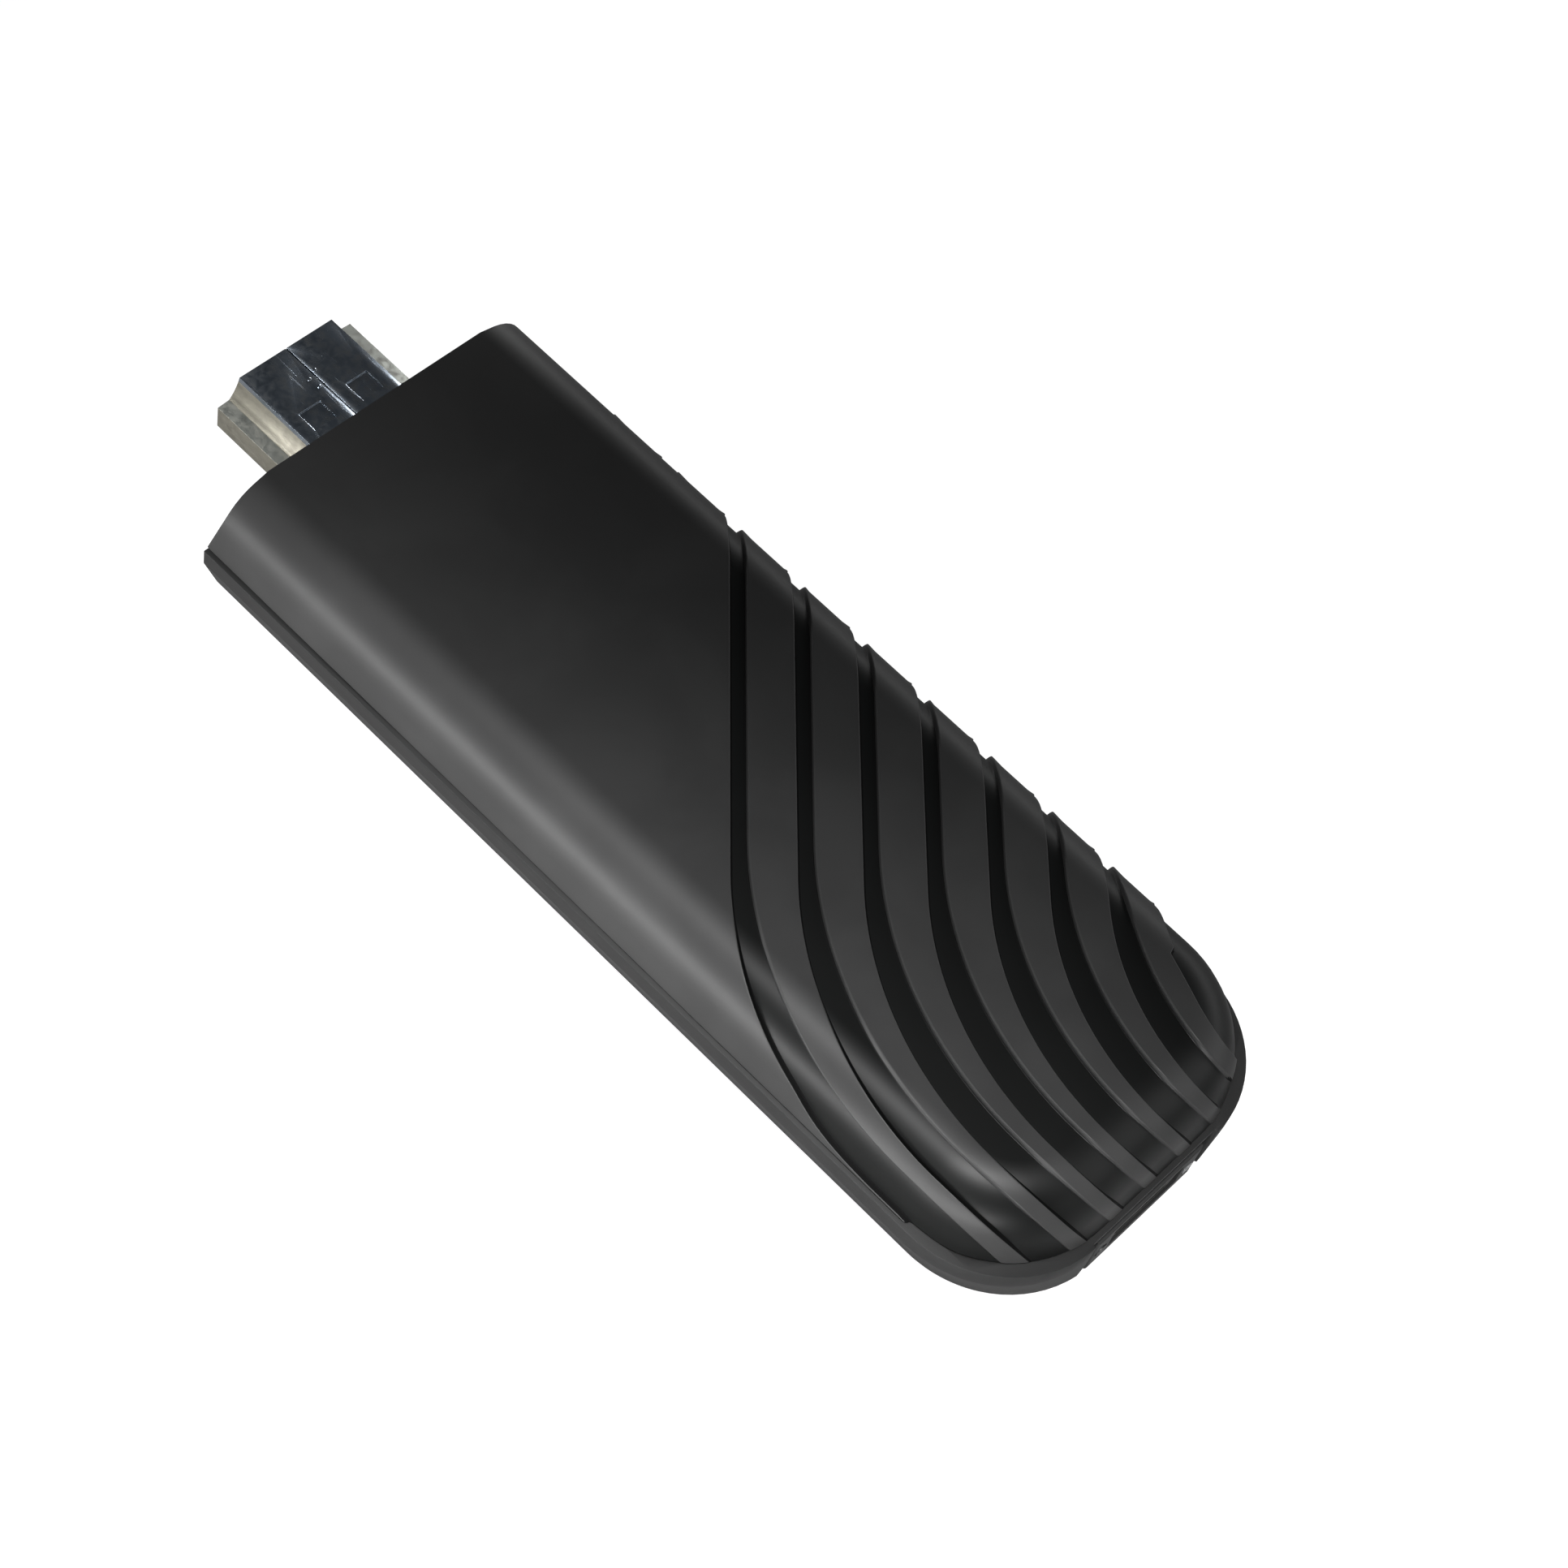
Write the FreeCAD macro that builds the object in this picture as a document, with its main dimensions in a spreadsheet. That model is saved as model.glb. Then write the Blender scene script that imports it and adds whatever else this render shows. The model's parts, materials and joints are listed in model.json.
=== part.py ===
"""Streaming stick: a small media player that plugs straight into a screen.

Millimetres. The origin is the centre of the flat underside, +X points out of the plug,
+Y is the long side that faces the viewer's left and +Z is up.
"""
import FreeCAD
import Part
import math
import os

import Sketcher
from FreeCAD import Placement, Rotation, Vector

os.makedirs("parts", exist_ok=True)
doc = FreeCAD.newDocument("StreamingStick")
sheet = doc.addObject("Spreadsheet::Sheet", "Sizes")


class Measure:
    """A length or angle that carries the spreadsheet formula it came from."""

    def __init__(self, value, text):
        self.value = float(value)
        self.text = text

    def joined(self, other, sign, result):
        return Measure(result, f"({self.text} {sign} {other.text})")

    def __add__(self, other):
        other = measure(other)
        return self.joined(other, "+", self.value + other.value)

    def __sub__(self, other):
        other = measure(other)
        return self.joined(other, "-", self.value - other.value)

    def __mul__(self, other):
        other = measure(other)
        return self.joined(other, "*", self.value * other.value)

    def __truediv__(self, other):
        other = measure(other)
        return self.joined(other, "/", self.value / other.value)

    def __neg__(self):
        return Measure(-self.value, f"(0 - {self.text})")

    __radd__ = __add__
    __rmul__ = __mul__

    def __rsub__(self, other):
        return measure(other) - self


def measure(number):
    return number if isinstance(number, Measure) else Measure(number, repr(float(number)))


rows_used = []


def size(alias, value):
    """Put one driving dimension in the sheet and return it with its formula."""
    rows_used.append(alias)
    row = len(rows_used)
    sheet.set(f"A{row}", alias)
    sheet.set(f"B{row}", str(value))
    sheet.setAlias(f"B{row}", alias)
    return Measure(value, f"Sizes.{alias}")


# Overall form
body_length = size("BodyLength", 85.6)
body_width = size("BodyWidth", 33)
body_height = size("BodyHeight", 12.3)
parting_height = size("PartingHeight", 5.8)
tail_corner = size("TailCorner", 9.8)

# Bottom shell
shell_wall = size("ShellWall", 1.3)
shell_floor = size("ShellFloor", 1.2)
crease_height = size("CreaseHeight", 4.2)
side_lean = size("SideLean", 1.6)
bottom_bevel = size("BottomBevel", 0.4)

# Top cover
cover_inset = size("CoverInset", 0.35)
cover_tail_inset = size("CoverTailInset", 0.65)
cover_corner = size("CoverCorner", 10.5)
cover_reveal = size("CoverReveal", 0.2)
cover_wall = size("CoverWall", 1.65)
cover_draft = size("CoverDraft", 8)
shoulder_radius = size("ShoulderRadius", 5)
lip_depth = size("LipDepth", 1.3)
lip_thickness = size("LipThickness", 0.7)
snap_reach = size("SnapReach", 0.4)
snap_length = size("SnapLength", 5)
snap_height = size("SnapHeight", 0.5)

# Wave grooves, laid out as seen from above
groove_depth = size("GrooveDepth", 0.4)
groove_first = size("GrooveFirst", 2.75)
groove_pitch = size("GroovePitch", 7.1)
groove_pitch_fade = size("GroovePitchFade", 0.073)
groove_width = size("GrooveWidth", 1.74)
tail_first = size("TailFirst", 18.48)
tail_pitch = size("TailPitch", 3.87)
tail_groove_width = size("TailGrooveWidth", 2.47)
bend_radius = size("BendRadius", 33.9)
bend_fade = size("BendFade", 1.87)
bend_spread = size("BendSpread", 2.42)
tail_veer = size("TailVeer", 0.57)
side_rib_height = size("SideRibHeight", 0.34)
side_rib_top = size("SideRibTop", 8.6)

# Plug
plug_reach = size("PlugReach", 9.6)
plug_inside = size("PlugInside", 7)
plug_width = size("PlugWidth", 13.9)
plug_height = size("PlugHeight", 4.45)
plug_base = size("PlugBase", 4.0)
plug_ledge = size("PlugLedge", 2.3)
plug_ledge_width = size("PlugLedgeWidth", 1.15)
plug_top_width = size("PlugTopWidth", 9.6)
plug_hollow_radius = size("PlugHollowRadius", 4.5)
plug_sheet = size("PlugSheet", 0.3)
slot_width = size("SlotWidth", 10.2)
slot_height = size("SlotHeight", 1.8)
slot_rise = size("SlotRise", 0.95)
contact_pitch = size("ContactPitch", 1.0)
contact_width = size("ContactWidth", 0.45)
contact_sheet = size("ContactSheet", 0.2)
blade_set_back = size("BladeSetBack", 1.5)
insulator_set_back = size("InsulatorSetBack", 0.9)
foot_length = size("FootLength", 0.8)
foot_set_back = size("FootSetBack", 0.4)
foot_stagger = size("FootStagger", 1.4)

# Port in the tail
port_width = size("PortWidth", 13.8)
port_top = size("PortTop", 5.35)
port_notch = size("PortNotch", 0.3)
port_moat = size("PortMoat", 0.9)
bezel_top = size("BezelTop", 4.6)
bezel_set_back = size("BezelSetBack", 0.1)
bezel_round = size("BezelRound", 0.25)
bezel_flange = size("BezelFlange", 0.75)
inlet_width = size("InletWidth", 7.5)
inlet_height = size("InletHeight", 2.4)
inlet_depth = size("InletDepth", 5)
inlet_sheet = size("InletSheet", 0.25)
inlet_slope = size("InletSlope", 0.72)
inlet_block = size("InletBlock", 1.0)
side_hole_offset = size("SideHoleOffset", 5)
side_hole_height = size("SideHoleHeight", 2.25)
button_radius = size("ButtonRadius", 0.6)
button_clearance = size("ButtonClearance", 0.05)
button_travel = size("ButtonTravel", 0.25)

# Circuit board and its seats
board_thickness = size("BoardThickness", 0.8)
board_side_gap = size("BoardSideGap", 1.4)
board_tail_gap = size("BoardTailGap", 3.2)
board_front_gap = size("BoardFrontGap", 2.2)
board_corner = size("BoardCorner", 7.5)
boss_radius = size("BossRadius", 1.9)
pin_radius = size("PinRadius", 0.8)
boss_tail_gap = size("BossTailGap", 12.8)
boss_front_gap = size("BossFrontGap", 9.8)
boss_side_gap = size("BossSideGap", 2.5)
fit_gap = size("FitGap", 0.1)
slip_gap = size("SlipGap", 0.05)
press_gap = size("PressGap", 0.03)

# Parts on the board
shield_length = size("ShieldLength", 32)
shield_width = size("ShieldWidth", 20)
shield_height = size("ShieldHeight", 2.2)
shield_sheet = size("ShieldSheet", 0.2)
shield_centre = size("ShieldCentre", 3)
chip_height = size("ChipHeight", 1.0)
pad_thickness = size("PadThickness", 1.0)
pad_length = size("PadLength", 24)
pad_width = size("PadWidth", 16)
spreader_length = size("SpreaderLength", 46)
spreader_clearance = size("SpreaderClearance", 0.35)
spreader_thickness = size("SpreaderThickness", 1.0)
spreader_flange = size("SpreaderFlange", 1.6)
spreader_round = size("SpreaderRound", 0.8)

# Ribs and posts of the housing
rib_thickness = size("RibThickness", 0.8)
rib_gap = size("RibGap", 0.5)
post_wall = size("PostWall", 0.9)

# Details of the plug
latch_length = size("LatchLength", 2.0)
latch_width = size("LatchWidth", 2.2)
latch_offset = size("LatchOffset", 2.45)
latch_depth = size("LatchDepth", 0.16)
latch_set_back = size("LatchSetBack", 7.6)
seam_width = size("SeamWidth", 0.12)
tab_width = size("TabWidth", 1.2)
tab_pitch = size("TabPitch", 3)

# Details of the port
inlet_gap = size("InletGap", 0.2)
stem_length = size("StemLength", 1.6)
collar_length = size("CollarLength", 0.5)
collar_radius = size("CollarRadius", 0.87)
neck_radius = size("NeckRadius", 0.48)
plunger_length = size("PlungerLength", 0.6)
switch_length = size("SwitchLength", 2.2)
switch_width = size("SwitchWidth", 2.2)
switch_height = size("SwitchHeight", 1.5)
switch_wall = size("SwitchWall", 0.3)
dome_sheet = size("DomeSheet", 0.08)
plunger_width = size("PlungerWidth", 0.63)
dome_height = size("DomeHeight", 0.72)
tongue_sheet = size("TongueSheet", 0.6)
tongue_width = size("TongueWidth", 3.75)
tongue_drop = size("TongueDrop", 0.67)
tongue_set_back = size("TongueSetBack", 0.75)
strip_width = size("InletStripWidth", 0.32)
usb_pitch = size("InletPitch", 0.65)
led_width = size("LightWidth", 1.6)
led_depth = size("LightDepth", 0.8)
led_height = size("LightHeight", 1.2)

# Packages on the board
soc_side = size("MainChipSide", 13)
ram_length = size("MemoryChipLength", 7.5)
ram_width = size("MemoryChipWidth", 8.5)
ram_height = size("MemoryChipHeight", 0.8)
frame_rim = size("FrameRim", 1.2)
lid_skirt = size("LidSkirt", 1.1)
flash_length = size("StorageChipLength", 9)
flash_width = size("StorageChipWidth", 11)
wifi_side = size("RadioSide", 9.5)
wifi_height = size("RadioHeight", 1.7)
power_side = size("PowerChipSide", 4)
power_height = size("PowerChipHeight", 0.9)
coil_side = size("CoilSide", 4)
coil_height = size("CoilHeight", 2)
part_gap = size("PartGap", 1.2)
ram_gap = size("MemoryGap", 0.8)
power_gap = size("PowerGap", 2.5)
crystal_length = size("CrystalLength", 3.2)
crystal_width = size("CrystalWidth", 2.5)
crystal_height = size("CrystalHeight", 0.8)
crystal_gap = size("CrystalGap", 1.75)
capacitor_length = size("CapacitorLength", 1.6)
capacitor_width = size("CapacitorWidth", 0.8)
capacitor_height = size("CapacitorHeight", 0.6)
capacitor_pitch = size("CapacitorPitch", 4)
capacitor_offset = size("CapacitorOffset", 3.5)
antenna_start_gap = size("AntennaStartGap", 4.65)
antenna_height = size("AntennaHeight", 3)
antenna_length = size("AntennaLength", 4)
antenna_side_gap = size("AntennaSideGap", 4.3)
antenna_arm = size("AntennaArm", 2.8)
antenna_sheet = size("AntennaSheet", 0.3)
film_thickness = size("FilmThickness", 0.1)
doc.recompute()

# Places that follow from the sizes above
front_x = body_length / 2
tail_x = -front_x
half_width = body_width / 2
cover_base = parting_height + cover_reveal
cover_half = half_width - cover_inset
board_top = plug_base - fit_gap * 2
board_bottom = board_top - board_thickness
board_tail = tail_x + board_tail_gap
board_front = front_x - board_front_gap
board_half = half_width - shell_wall - board_side_gap
boss_offset = board_half - boss_side_gap
boss_tail = tail_x + boss_tail_gap
boss_front = front_x - boss_front_gap
lip_tail = tail_x + tail_corner + lip_depth
lip_front = front_x - shell_wall - lip_depth
snap_middle = (lip_tail + lip_front) / 2
snap_pitch = (lip_front - lip_tail) / 4
plug_tip = front_x + plug_reach
plug_back = front_x - plug_inside
slot_middle = plug_base + slot_rise + slot_height / 2
inlet_top = board_top
inlet_base = inlet_top - inlet_height
bezel_front = tail_x + bezel_set_back
flange_front = tail_x + shell_wall + slip_gap
bezel_back = flange_front + bezel_flange
groove_count = 8
side_grooves = 2

# Cutting tools run this far past the material
past = 1


def bind(item, name, formula):
    """Tie one property of an object to its formula in the sheet."""
    item.setExpression(name, formula.text)


def place(item, x, y, z):
    for axis, formula in zip("xyz", (x, y, z)):
        bind(item, f"Placement.Base.{axis}", measure(formula))


# Part primitives whose sizes and places follow the sheet
def block(label, low, high):
    """A box from its low corner to its high corner."""
    low = [measure(value) for value in low]
    high = [measure(value) for value in high]
    box = doc.addObject("Part::Box", label)
    box.Label = label
    for name, start, end in zip(("Length", "Width", "Height"), low, high):
        bind(box, name, end - start)
    place(box, *low)
    return box


def centred_block(label, centre, base, length, width, height):
    """A box that stands on a height and is centred on a point in plan."""
    x, y = (measure(value) for value in centre)
    length, width = measure(length), measure(width)
    base = measure(base)
    low = (x - length / 2, y - width / 2, base)
    high = (x + length / 2, y + width / 2, base + height)
    return block(label, low, high)


def rod(label, start, radius, length, along="z"):
    """A round bar that starts at a point and runs along +X or +Z."""
    cylinder = doc.addObject("Part::Cylinder", label)
    cylinder.Label = label
    bind(cylinder, "Radius", measure(radius))
    bind(cylinder, "Height", measure(length))
    if along == "x":
        cylinder.Placement = Placement(Vector(), Rotation(Vector(0, 1, 0), 90))
    place(cylinder, *start)
    return cylinder


def ordered(first, second):
    """Two places in rising order."""
    return (first, second) if first.value < second.value else (second, first)


def fused(label, pieces):
    fuse = doc.addObject("Part::MultiFuse", label)
    fuse.Label = label
    fuse.Shapes = pieces
    return fuse


def grouped(label, pieces):
    group = doc.addObject("Part::Compound", label)
    group.Label = label
    group.Links = pieces
    return group


def cut(label, base, tool):
    result = doc.addObject("Part::Cut", label)
    result.Label = label
    result.Base = base
    result.Tool = tool
    return result


def overlap(label, base, tool):
    result = doc.addObject("Part::Common", label)
    result.Label = label
    result.Base = base
    result.Tool = tool
    return result


# Sketches and features of a body
def new_body(label):
    body = doc.addObject("PartDesign::Body", label)
    body.Label = label
    return body


def sketch_on(body, role, offset=None):
    """A sketch on one of the body's own origin planes, moved along its normal."""
    sketch = body.newObject("Sketcher::SketchObject", body.Name + "Sketch")
    plane = next(item for item in body.Origin.OriginFeatures if item.Role == role)
    sketch.AttachmentSupport = [(plane, "")]
    sketch.MapMode = "FlatFace"
    if offset is not None:
        bind(sketch, "AttachmentOffset.Base.z", measure(offset))
    return sketch


def pin_point(sketch, geometry, end, x, y):
    """Hold one end of a line or arc at formulas measured from the sketch's origin."""
    for kind, axis, formula in (("DistanceX", -2, x), ("DistanceY", -1, y)):
        if formula.value == 0:
            sketch.addConstraint(Sketcher.Constraint("PointOnObject", geometry, end, axis))
            continue
        number = sketch.addConstraint(
            Sketcher.Constraint(kind, -1, 1, geometry, end, formula.value))
        sketch.setExpression(f"Constraints[{number}]", formula.text)


def outline(sketch, corners, hollows=None):
    """A closed outline through corners, anticlockwise.

    hollows gives, for the side that leaves a corner, the radius of the arc that bends
    that side inwards.
    """
    hollows = hollows or {}
    corners = [(measure(x), measure(y)) for x, y in corners]
    ends = []
    for index, (x, y) in enumerate(corners):
        next_x, next_y = corners[(index + 1) % len(corners)]
        start = Vector(x.value, y.value, 0)
        finish = Vector(next_x.value, next_y.value, 0)
        if index in hollows:
            chord = finish - start
            radius = hollows[index].value
            inward = Vector(-chord.y, chord.x, 0).normalize()
            depth = radius - math.sqrt(radius ** 2 - (chord.Length / 2) ** 2)
            middle = (start + finish) / 2 + inward * depth
            number = sketch.addGeometry(Part.Arc(finish, middle, start))
            limit = sketch.addConstraint(Sketcher.Constraint("Radius", number, radius))
            sketch.setExpression(f"Constraints[{limit}]", hollows[index].text)
            ends.append((number, 2, 1))
        else:
            number = sketch.addGeometry(Part.LineSegment(start, finish))
            ends.append((number, 1, 2))
        pin_point(sketch, number, ends[-1][1], x, y)
    for (number, first, last), (other, other_first, other_last) in zip(ends, ends[1:] + ends[:1]):
        sketch.addConstraint(Sketcher.Constraint("Coincident", number, last, other, other_first))


def rectangle(sketch, low_x, low_y, high_x, high_y):
    outline(sketch, [(low_x, low_y), (high_x, low_y), (high_x, high_y), (low_x, high_y)])


def plan_outline(sketch, tail, half, corner, front):
    """The stick's plan: square at the plug end and round-cornered at the tail."""
    left, right, side, radius = tail.value, front.value, half.value, corner.value
    near, far = left + radius, side - radius
    centres = (Vector(near, far, 0), Vector(near, -far, 0))
    top = sketch.addGeometry(Part.LineSegment(Vector(right, side, 0), Vector(near, side, 0)))
    turn = Part.Circle(centres[0], Vector(0, 0, 1), radius)
    first = sketch.addGeometry(Part.ArcOfCircle(turn, math.pi / 2, math.pi))
    end = sketch.addGeometry(Part.LineSegment(Vector(left, far, 0), Vector(left, -far, 0)))
    turn = Part.Circle(centres[1], Vector(0, 0, 1), radius)
    second = sketch.addGeometry(Part.ArcOfCircle(turn, math.pi, math.pi * 1.5))
    base = sketch.addGeometry(Part.LineSegment(Vector(near, -side, 0), Vector(right, -side, 0)))
    face = sketch.addGeometry(Part.LineSegment(Vector(right, -side, 0), Vector(right, side, 0)))
    for line, following in ((top, first), (first, end), (end, second), (second, base)):
        sketch.addConstraint(Sketcher.Constraint("Tangent", line, 2, following, 1))
    for line, following in ((base, face), (face, top)):
        sketch.addConstraint(Sketcher.Constraint("Coincident", line, 2, following, 1))
    sketch.addConstraint(Sketcher.Constraint("Equal", first, second))
    number = sketch.addConstraint(Sketcher.Constraint("Radius", first, radius))
    sketch.setExpression(f"Constraints[{number}]", corner.text)
    pin_point(sketch, face, 1, front, -half)
    pin_point(sketch, face, 2, front, half)
    number = sketch.addConstraint(Sketcher.Constraint("DistanceX", -1, 1, end, 1, left))
    sketch.setExpression(f"Constraints[{number}]", tail.text)
    sketch.addConstraint(Sketcher.Constraint("Vertical", end))


def pad(body, sketch, length, backwards=False):
    feature = body.newObject("PartDesign::Pad", body.Name + "Pad")
    feature.Profile = sketch
    bind(feature, "Length", measure(length))
    feature.Reversed = backwards
    doc.recompute()
    return feature


def loft(body, first, second):
    """Straight-sided material between two outlines."""
    feature = body.newObject("PartDesign::AdditiveLoft", body.Name + "Loft")
    feature.Profile = first
    feature.Sections = [second]
    feature.Ruled = True
    doc.recompute()
    return feature


def lean(body, angle, level, front):
    """Lean the upright sides inwards from a level up, all but the one at the plug end."""
    tip = body.Tip
    sides = []
    neutral = None
    for number, face in enumerate(tip.Shape.Faces, 1):
        box = face.BoundBox
        if box.ZLength > 1 and box.XMin < front.value - 1:
            sides.append(f"Face{number}")
        elif box.ZMax < level.value + 1:
            neutral = f"Face{number}"
    feature = body.newObject("PartDesign::Draft", body.Name + "Draft")
    feature.Base = (tip, sides)
    feature.NeutralPlane = (tip, [neutral])
    bind(feature, "Angle", angle)
    doc.recompute()
    return feature


def soften(body, kind, reach, wanted):
    """Round or bevel the edges of the body's tip that a test picks."""
    tip = body.Tip
    names = [f"Edge{number}" for number, edge in enumerate(tip.Shape.Edges, 1) if wanted(edge)]
    feature = body.newObject(kind, body.Name + "Edges")
    feature.Base = (tip, names)
    bind(feature, "Radius" if kind.endswith("Fillet") else "Size", reach)
    doc.recompute()
    return feature


# Bottom shell
def shell_form(label, inset, bottom, front):
    """The tray's form: upright above the crease, with long sides that lean inwards below it."""
    body = new_body(label)
    half = half_width - inset
    tail = tail_x + inset
    corner = tail_corner - inset
    outlines = []
    for level, reach in ((crease_height, half), (crease_height, half), (bottom, half - side_lean)):
        sketch = sketch_on(body, "XY_Plane", level)
        plan_outline(sketch, tail, reach, corner, front)
        outlines.append(sketch)
    pad(body, outlines[0], parting_height - crease_height)
    loft(body, outlines[1], outlines[2])
    return body


shell_solid = shell_form("ShellSolid", measure(0), measure(0), front_x)
soften(shell_solid, "PartDesign::Chamfer", bottom_bevel,
       lambda edge: edge.BoundBox.ZMax < 0.01 and edge.BoundBox.XMin < front_x.value - 1)
shell_hollow = shell_form("ShellHollow", shell_wall, shell_floor, front_x - shell_wall)

# Bosses carry the board and the pins on two of them locate it
boss_places = [(x, y) for x in (boss_tail, boss_front) for y in (-boss_offset, boss_offset)]
pin_places = [boss_places[0], boss_places[3]]
boss_start = shell_floor - fit_gap
pin_length = board_top + board_thickness - boss_start
bosses = []
for number, (x, y) in enumerate(boss_places, 1):
    bosses.append(rod(f"Boss{number}", (x, y, boss_start), boss_radius, board_bottom - boss_start))
for number, (x, y) in enumerate(pin_places, 1):
    bosses.append(rod(f"Pin{number}", (x, y, boss_start), pin_radius, pin_length))

# Two low ribs stiffen the floor between the bosses
for number, y in enumerate((-boss_offset, boss_offset), 1):
    low = (boss_tail, y - rib_thickness / 2, boss_start)
    high = (boss_front, y + rib_thickness / 2, board_bottom - rib_gap)
    bosses.append(block(f"FloorRib{number}", low, high))


def plug_section(grow):
    """Corners of the plug's section in Y and Z, grown outwards by a gap."""
    half = plug_width / 2 + grow
    base = plug_base - grow
    ledge = plug_base + plug_ledge + grow
    step = plug_width / 2 - plug_ledge_width + grow
    top_half = plug_top_width / 2 + grow
    top = plug_base + plug_height + grow
    corners = [(-half, base), (half, base), (half, ledge), (step, ledge + fit_gap), (top_half, top),
               (-top_half, top), (-step, ledge + fit_gap), (-half, ledge)]
    return corners, {3: plug_hollow_radius, 5: plug_hollow_radius}


def plug_form(label, grow, start, end):
    body = new_body(label)
    sketch = sketch_on(body, "YZ_Plane", start)
    corners, hollows = plug_section(measure(grow))
    outline(sketch, corners, hollows)
    pad(body, sketch, end - start)
    return body


plug_passage = plug_form("PlugPassage", fit_gap, front_x - shell_wall * 2, front_x + past)
port_half = port_width / 2
port_window = block("PortWindow", (tail_x - past, -port_half, -past),
                    (tail_x + shell_wall, port_half, port_top))
rim_notch = block("RimNotch", (tail_x - past, -port_half, port_top - fit_gap),
                  (tail_x + port_notch, port_half, parting_height + past))
bay_half = port_half + bezel_flange + fit_gap
port_bay = block("PortBay", (tail_x + shell_wall, -bay_half, shell_floor),
                 (bezel_back + fit_gap * 5, bay_half, parting_height + past))

# Snap recesses in the side walls and matching beads on the cover's lips
snap_places = (snap_middle - snap_pitch, snap_middle, snap_middle + snap_pitch)
snap_level = parting_height - lip_depth + fit_gap
snap_recesses = []
for number, x in enumerate(snap_places, 1):
    depth = half_width - shell_wall + snap_reach + fit_gap
    low = (x - snap_length / 2 - fit_gap, -depth, snap_level - fit_gap)
    high = (x + snap_length / 2 + fit_gap, depth, snap_level + snap_height + fit_gap)
    snap_recesses.append(block(f"SnapRecess{number}", low, high))

shell_cuts = [shell_hollow, port_window, rim_notch, port_bay, plug_passage] + snap_recesses
shell_tray = cut("ShellTray", shell_solid, fused("ShellCuts", shell_cuts))
bottom_shell = fused("bottom_shell", [shell_tray] + bosses)


# Top cover
def cover_form(label, inset, front, shoulder="PartDesign::Fillet"):
    """The cover's form: drafted walls and a deep shoulder under a flat top."""
    body = new_body(label)
    plan = sketch_on(body, "XY_Plane", cover_base)
    plan_outline(plan, tail_x + cover_tail_inset + inset, cover_half - inset, cover_corner - inset, front)
    pad(body, plan, body_height - inset - cover_base)
    lean(body, cover_draft, cover_base, front)
    level = body_height.value - inset.value - 0.01
    soften(body, shoulder, shoulder_radius - inset,
           lambda edge: edge.BoundBox.ZMin > level and edge.BoundBox.XMin < front.value - 1)
    return body


cover_solid = cover_form("CoverSolid", measure(0), front_x)
groove_floor = cover_form("GrooveFloor", groove_depth, front_x)
cover_hollow = cover_form("CoverHollow", cover_wall, front_x - shell_wall, "PartDesign::Chamfer")
side_rib_form = cover_form("SideRibForm", -side_rib_height, front_x)


def over_shoulder(distance):
    """Height along the skin becomes the distance from the middle, seen from above."""
    flat = cover_half.value - shoulder_radius.value
    if distance <= flat:
        return distance
    radius = shoulder_radius.value
    quarter = radius * math.pi / 2
    if distance > flat + quarter:
        return distance - quarter + radius
    return flat + radius * math.sin((distance - flat) / radius)


# A groove's edge is drawn through this many steps of its bend and of its roll over the tail
bend_steps = 10
roll_steps = 5
least_roll = math.radians(3)

# The flat of the cover's top ends inside its shoulder and its leaning wall
draft_angle = math.radians(cover_draft.value)
arc_reach = shoulder_radius.value * math.cos(draft_angle)
arc_fall = shoulder_radius.value * (1 - math.sin(draft_angle))
cover_drop = body_height.value - cover_base.value
flat_inset = arc_reach + (cover_drop - arc_fall) * math.tan(draft_angle)
flat_half = cover_half.value - flat_inset
flat_corner = cover_corner.value - flat_inset
flat_tail = tail_x.value + cover_tail_inset.value + flat_inset


def tail_outline(side, out):
    """x of the tail's outline where it stands a distance outside the flat's."""
    reach = flat_corner + out
    across = min(max(abs(side) - flat_half + flat_corner, 0), reach)
    return flat_tail + flat_corner - math.sqrt(reach ** 2 - across ** 2)


def side_level(side):
    """How far out on the side's shoulder a place lies."""
    return min(max(side - flat_half, 0), arc_reach)


def rolled(edge_side, out, fall):
    """The point of a groove's edge at one level of the tail, where the edge veers as it falls."""
    rounds = 12
    x = flat_tail - out
    for _ in range(rounds):
        side = edge_side(x)
        side_fall = shoulder_radius.value - math.sqrt(shoulder_radius.value ** 2 - side_level(side) ** 2)
        y = side - tail_veer.value * max(fall - side_fall, 0)
        x = tail_outline(y, out)
    return Vector(x, y, 0)


def smooth_line(points):
    """A curve through the points."""
    curve = Part.BSplineCurve()
    curve.interpolate(points)
    return curve.toShape()


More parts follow.
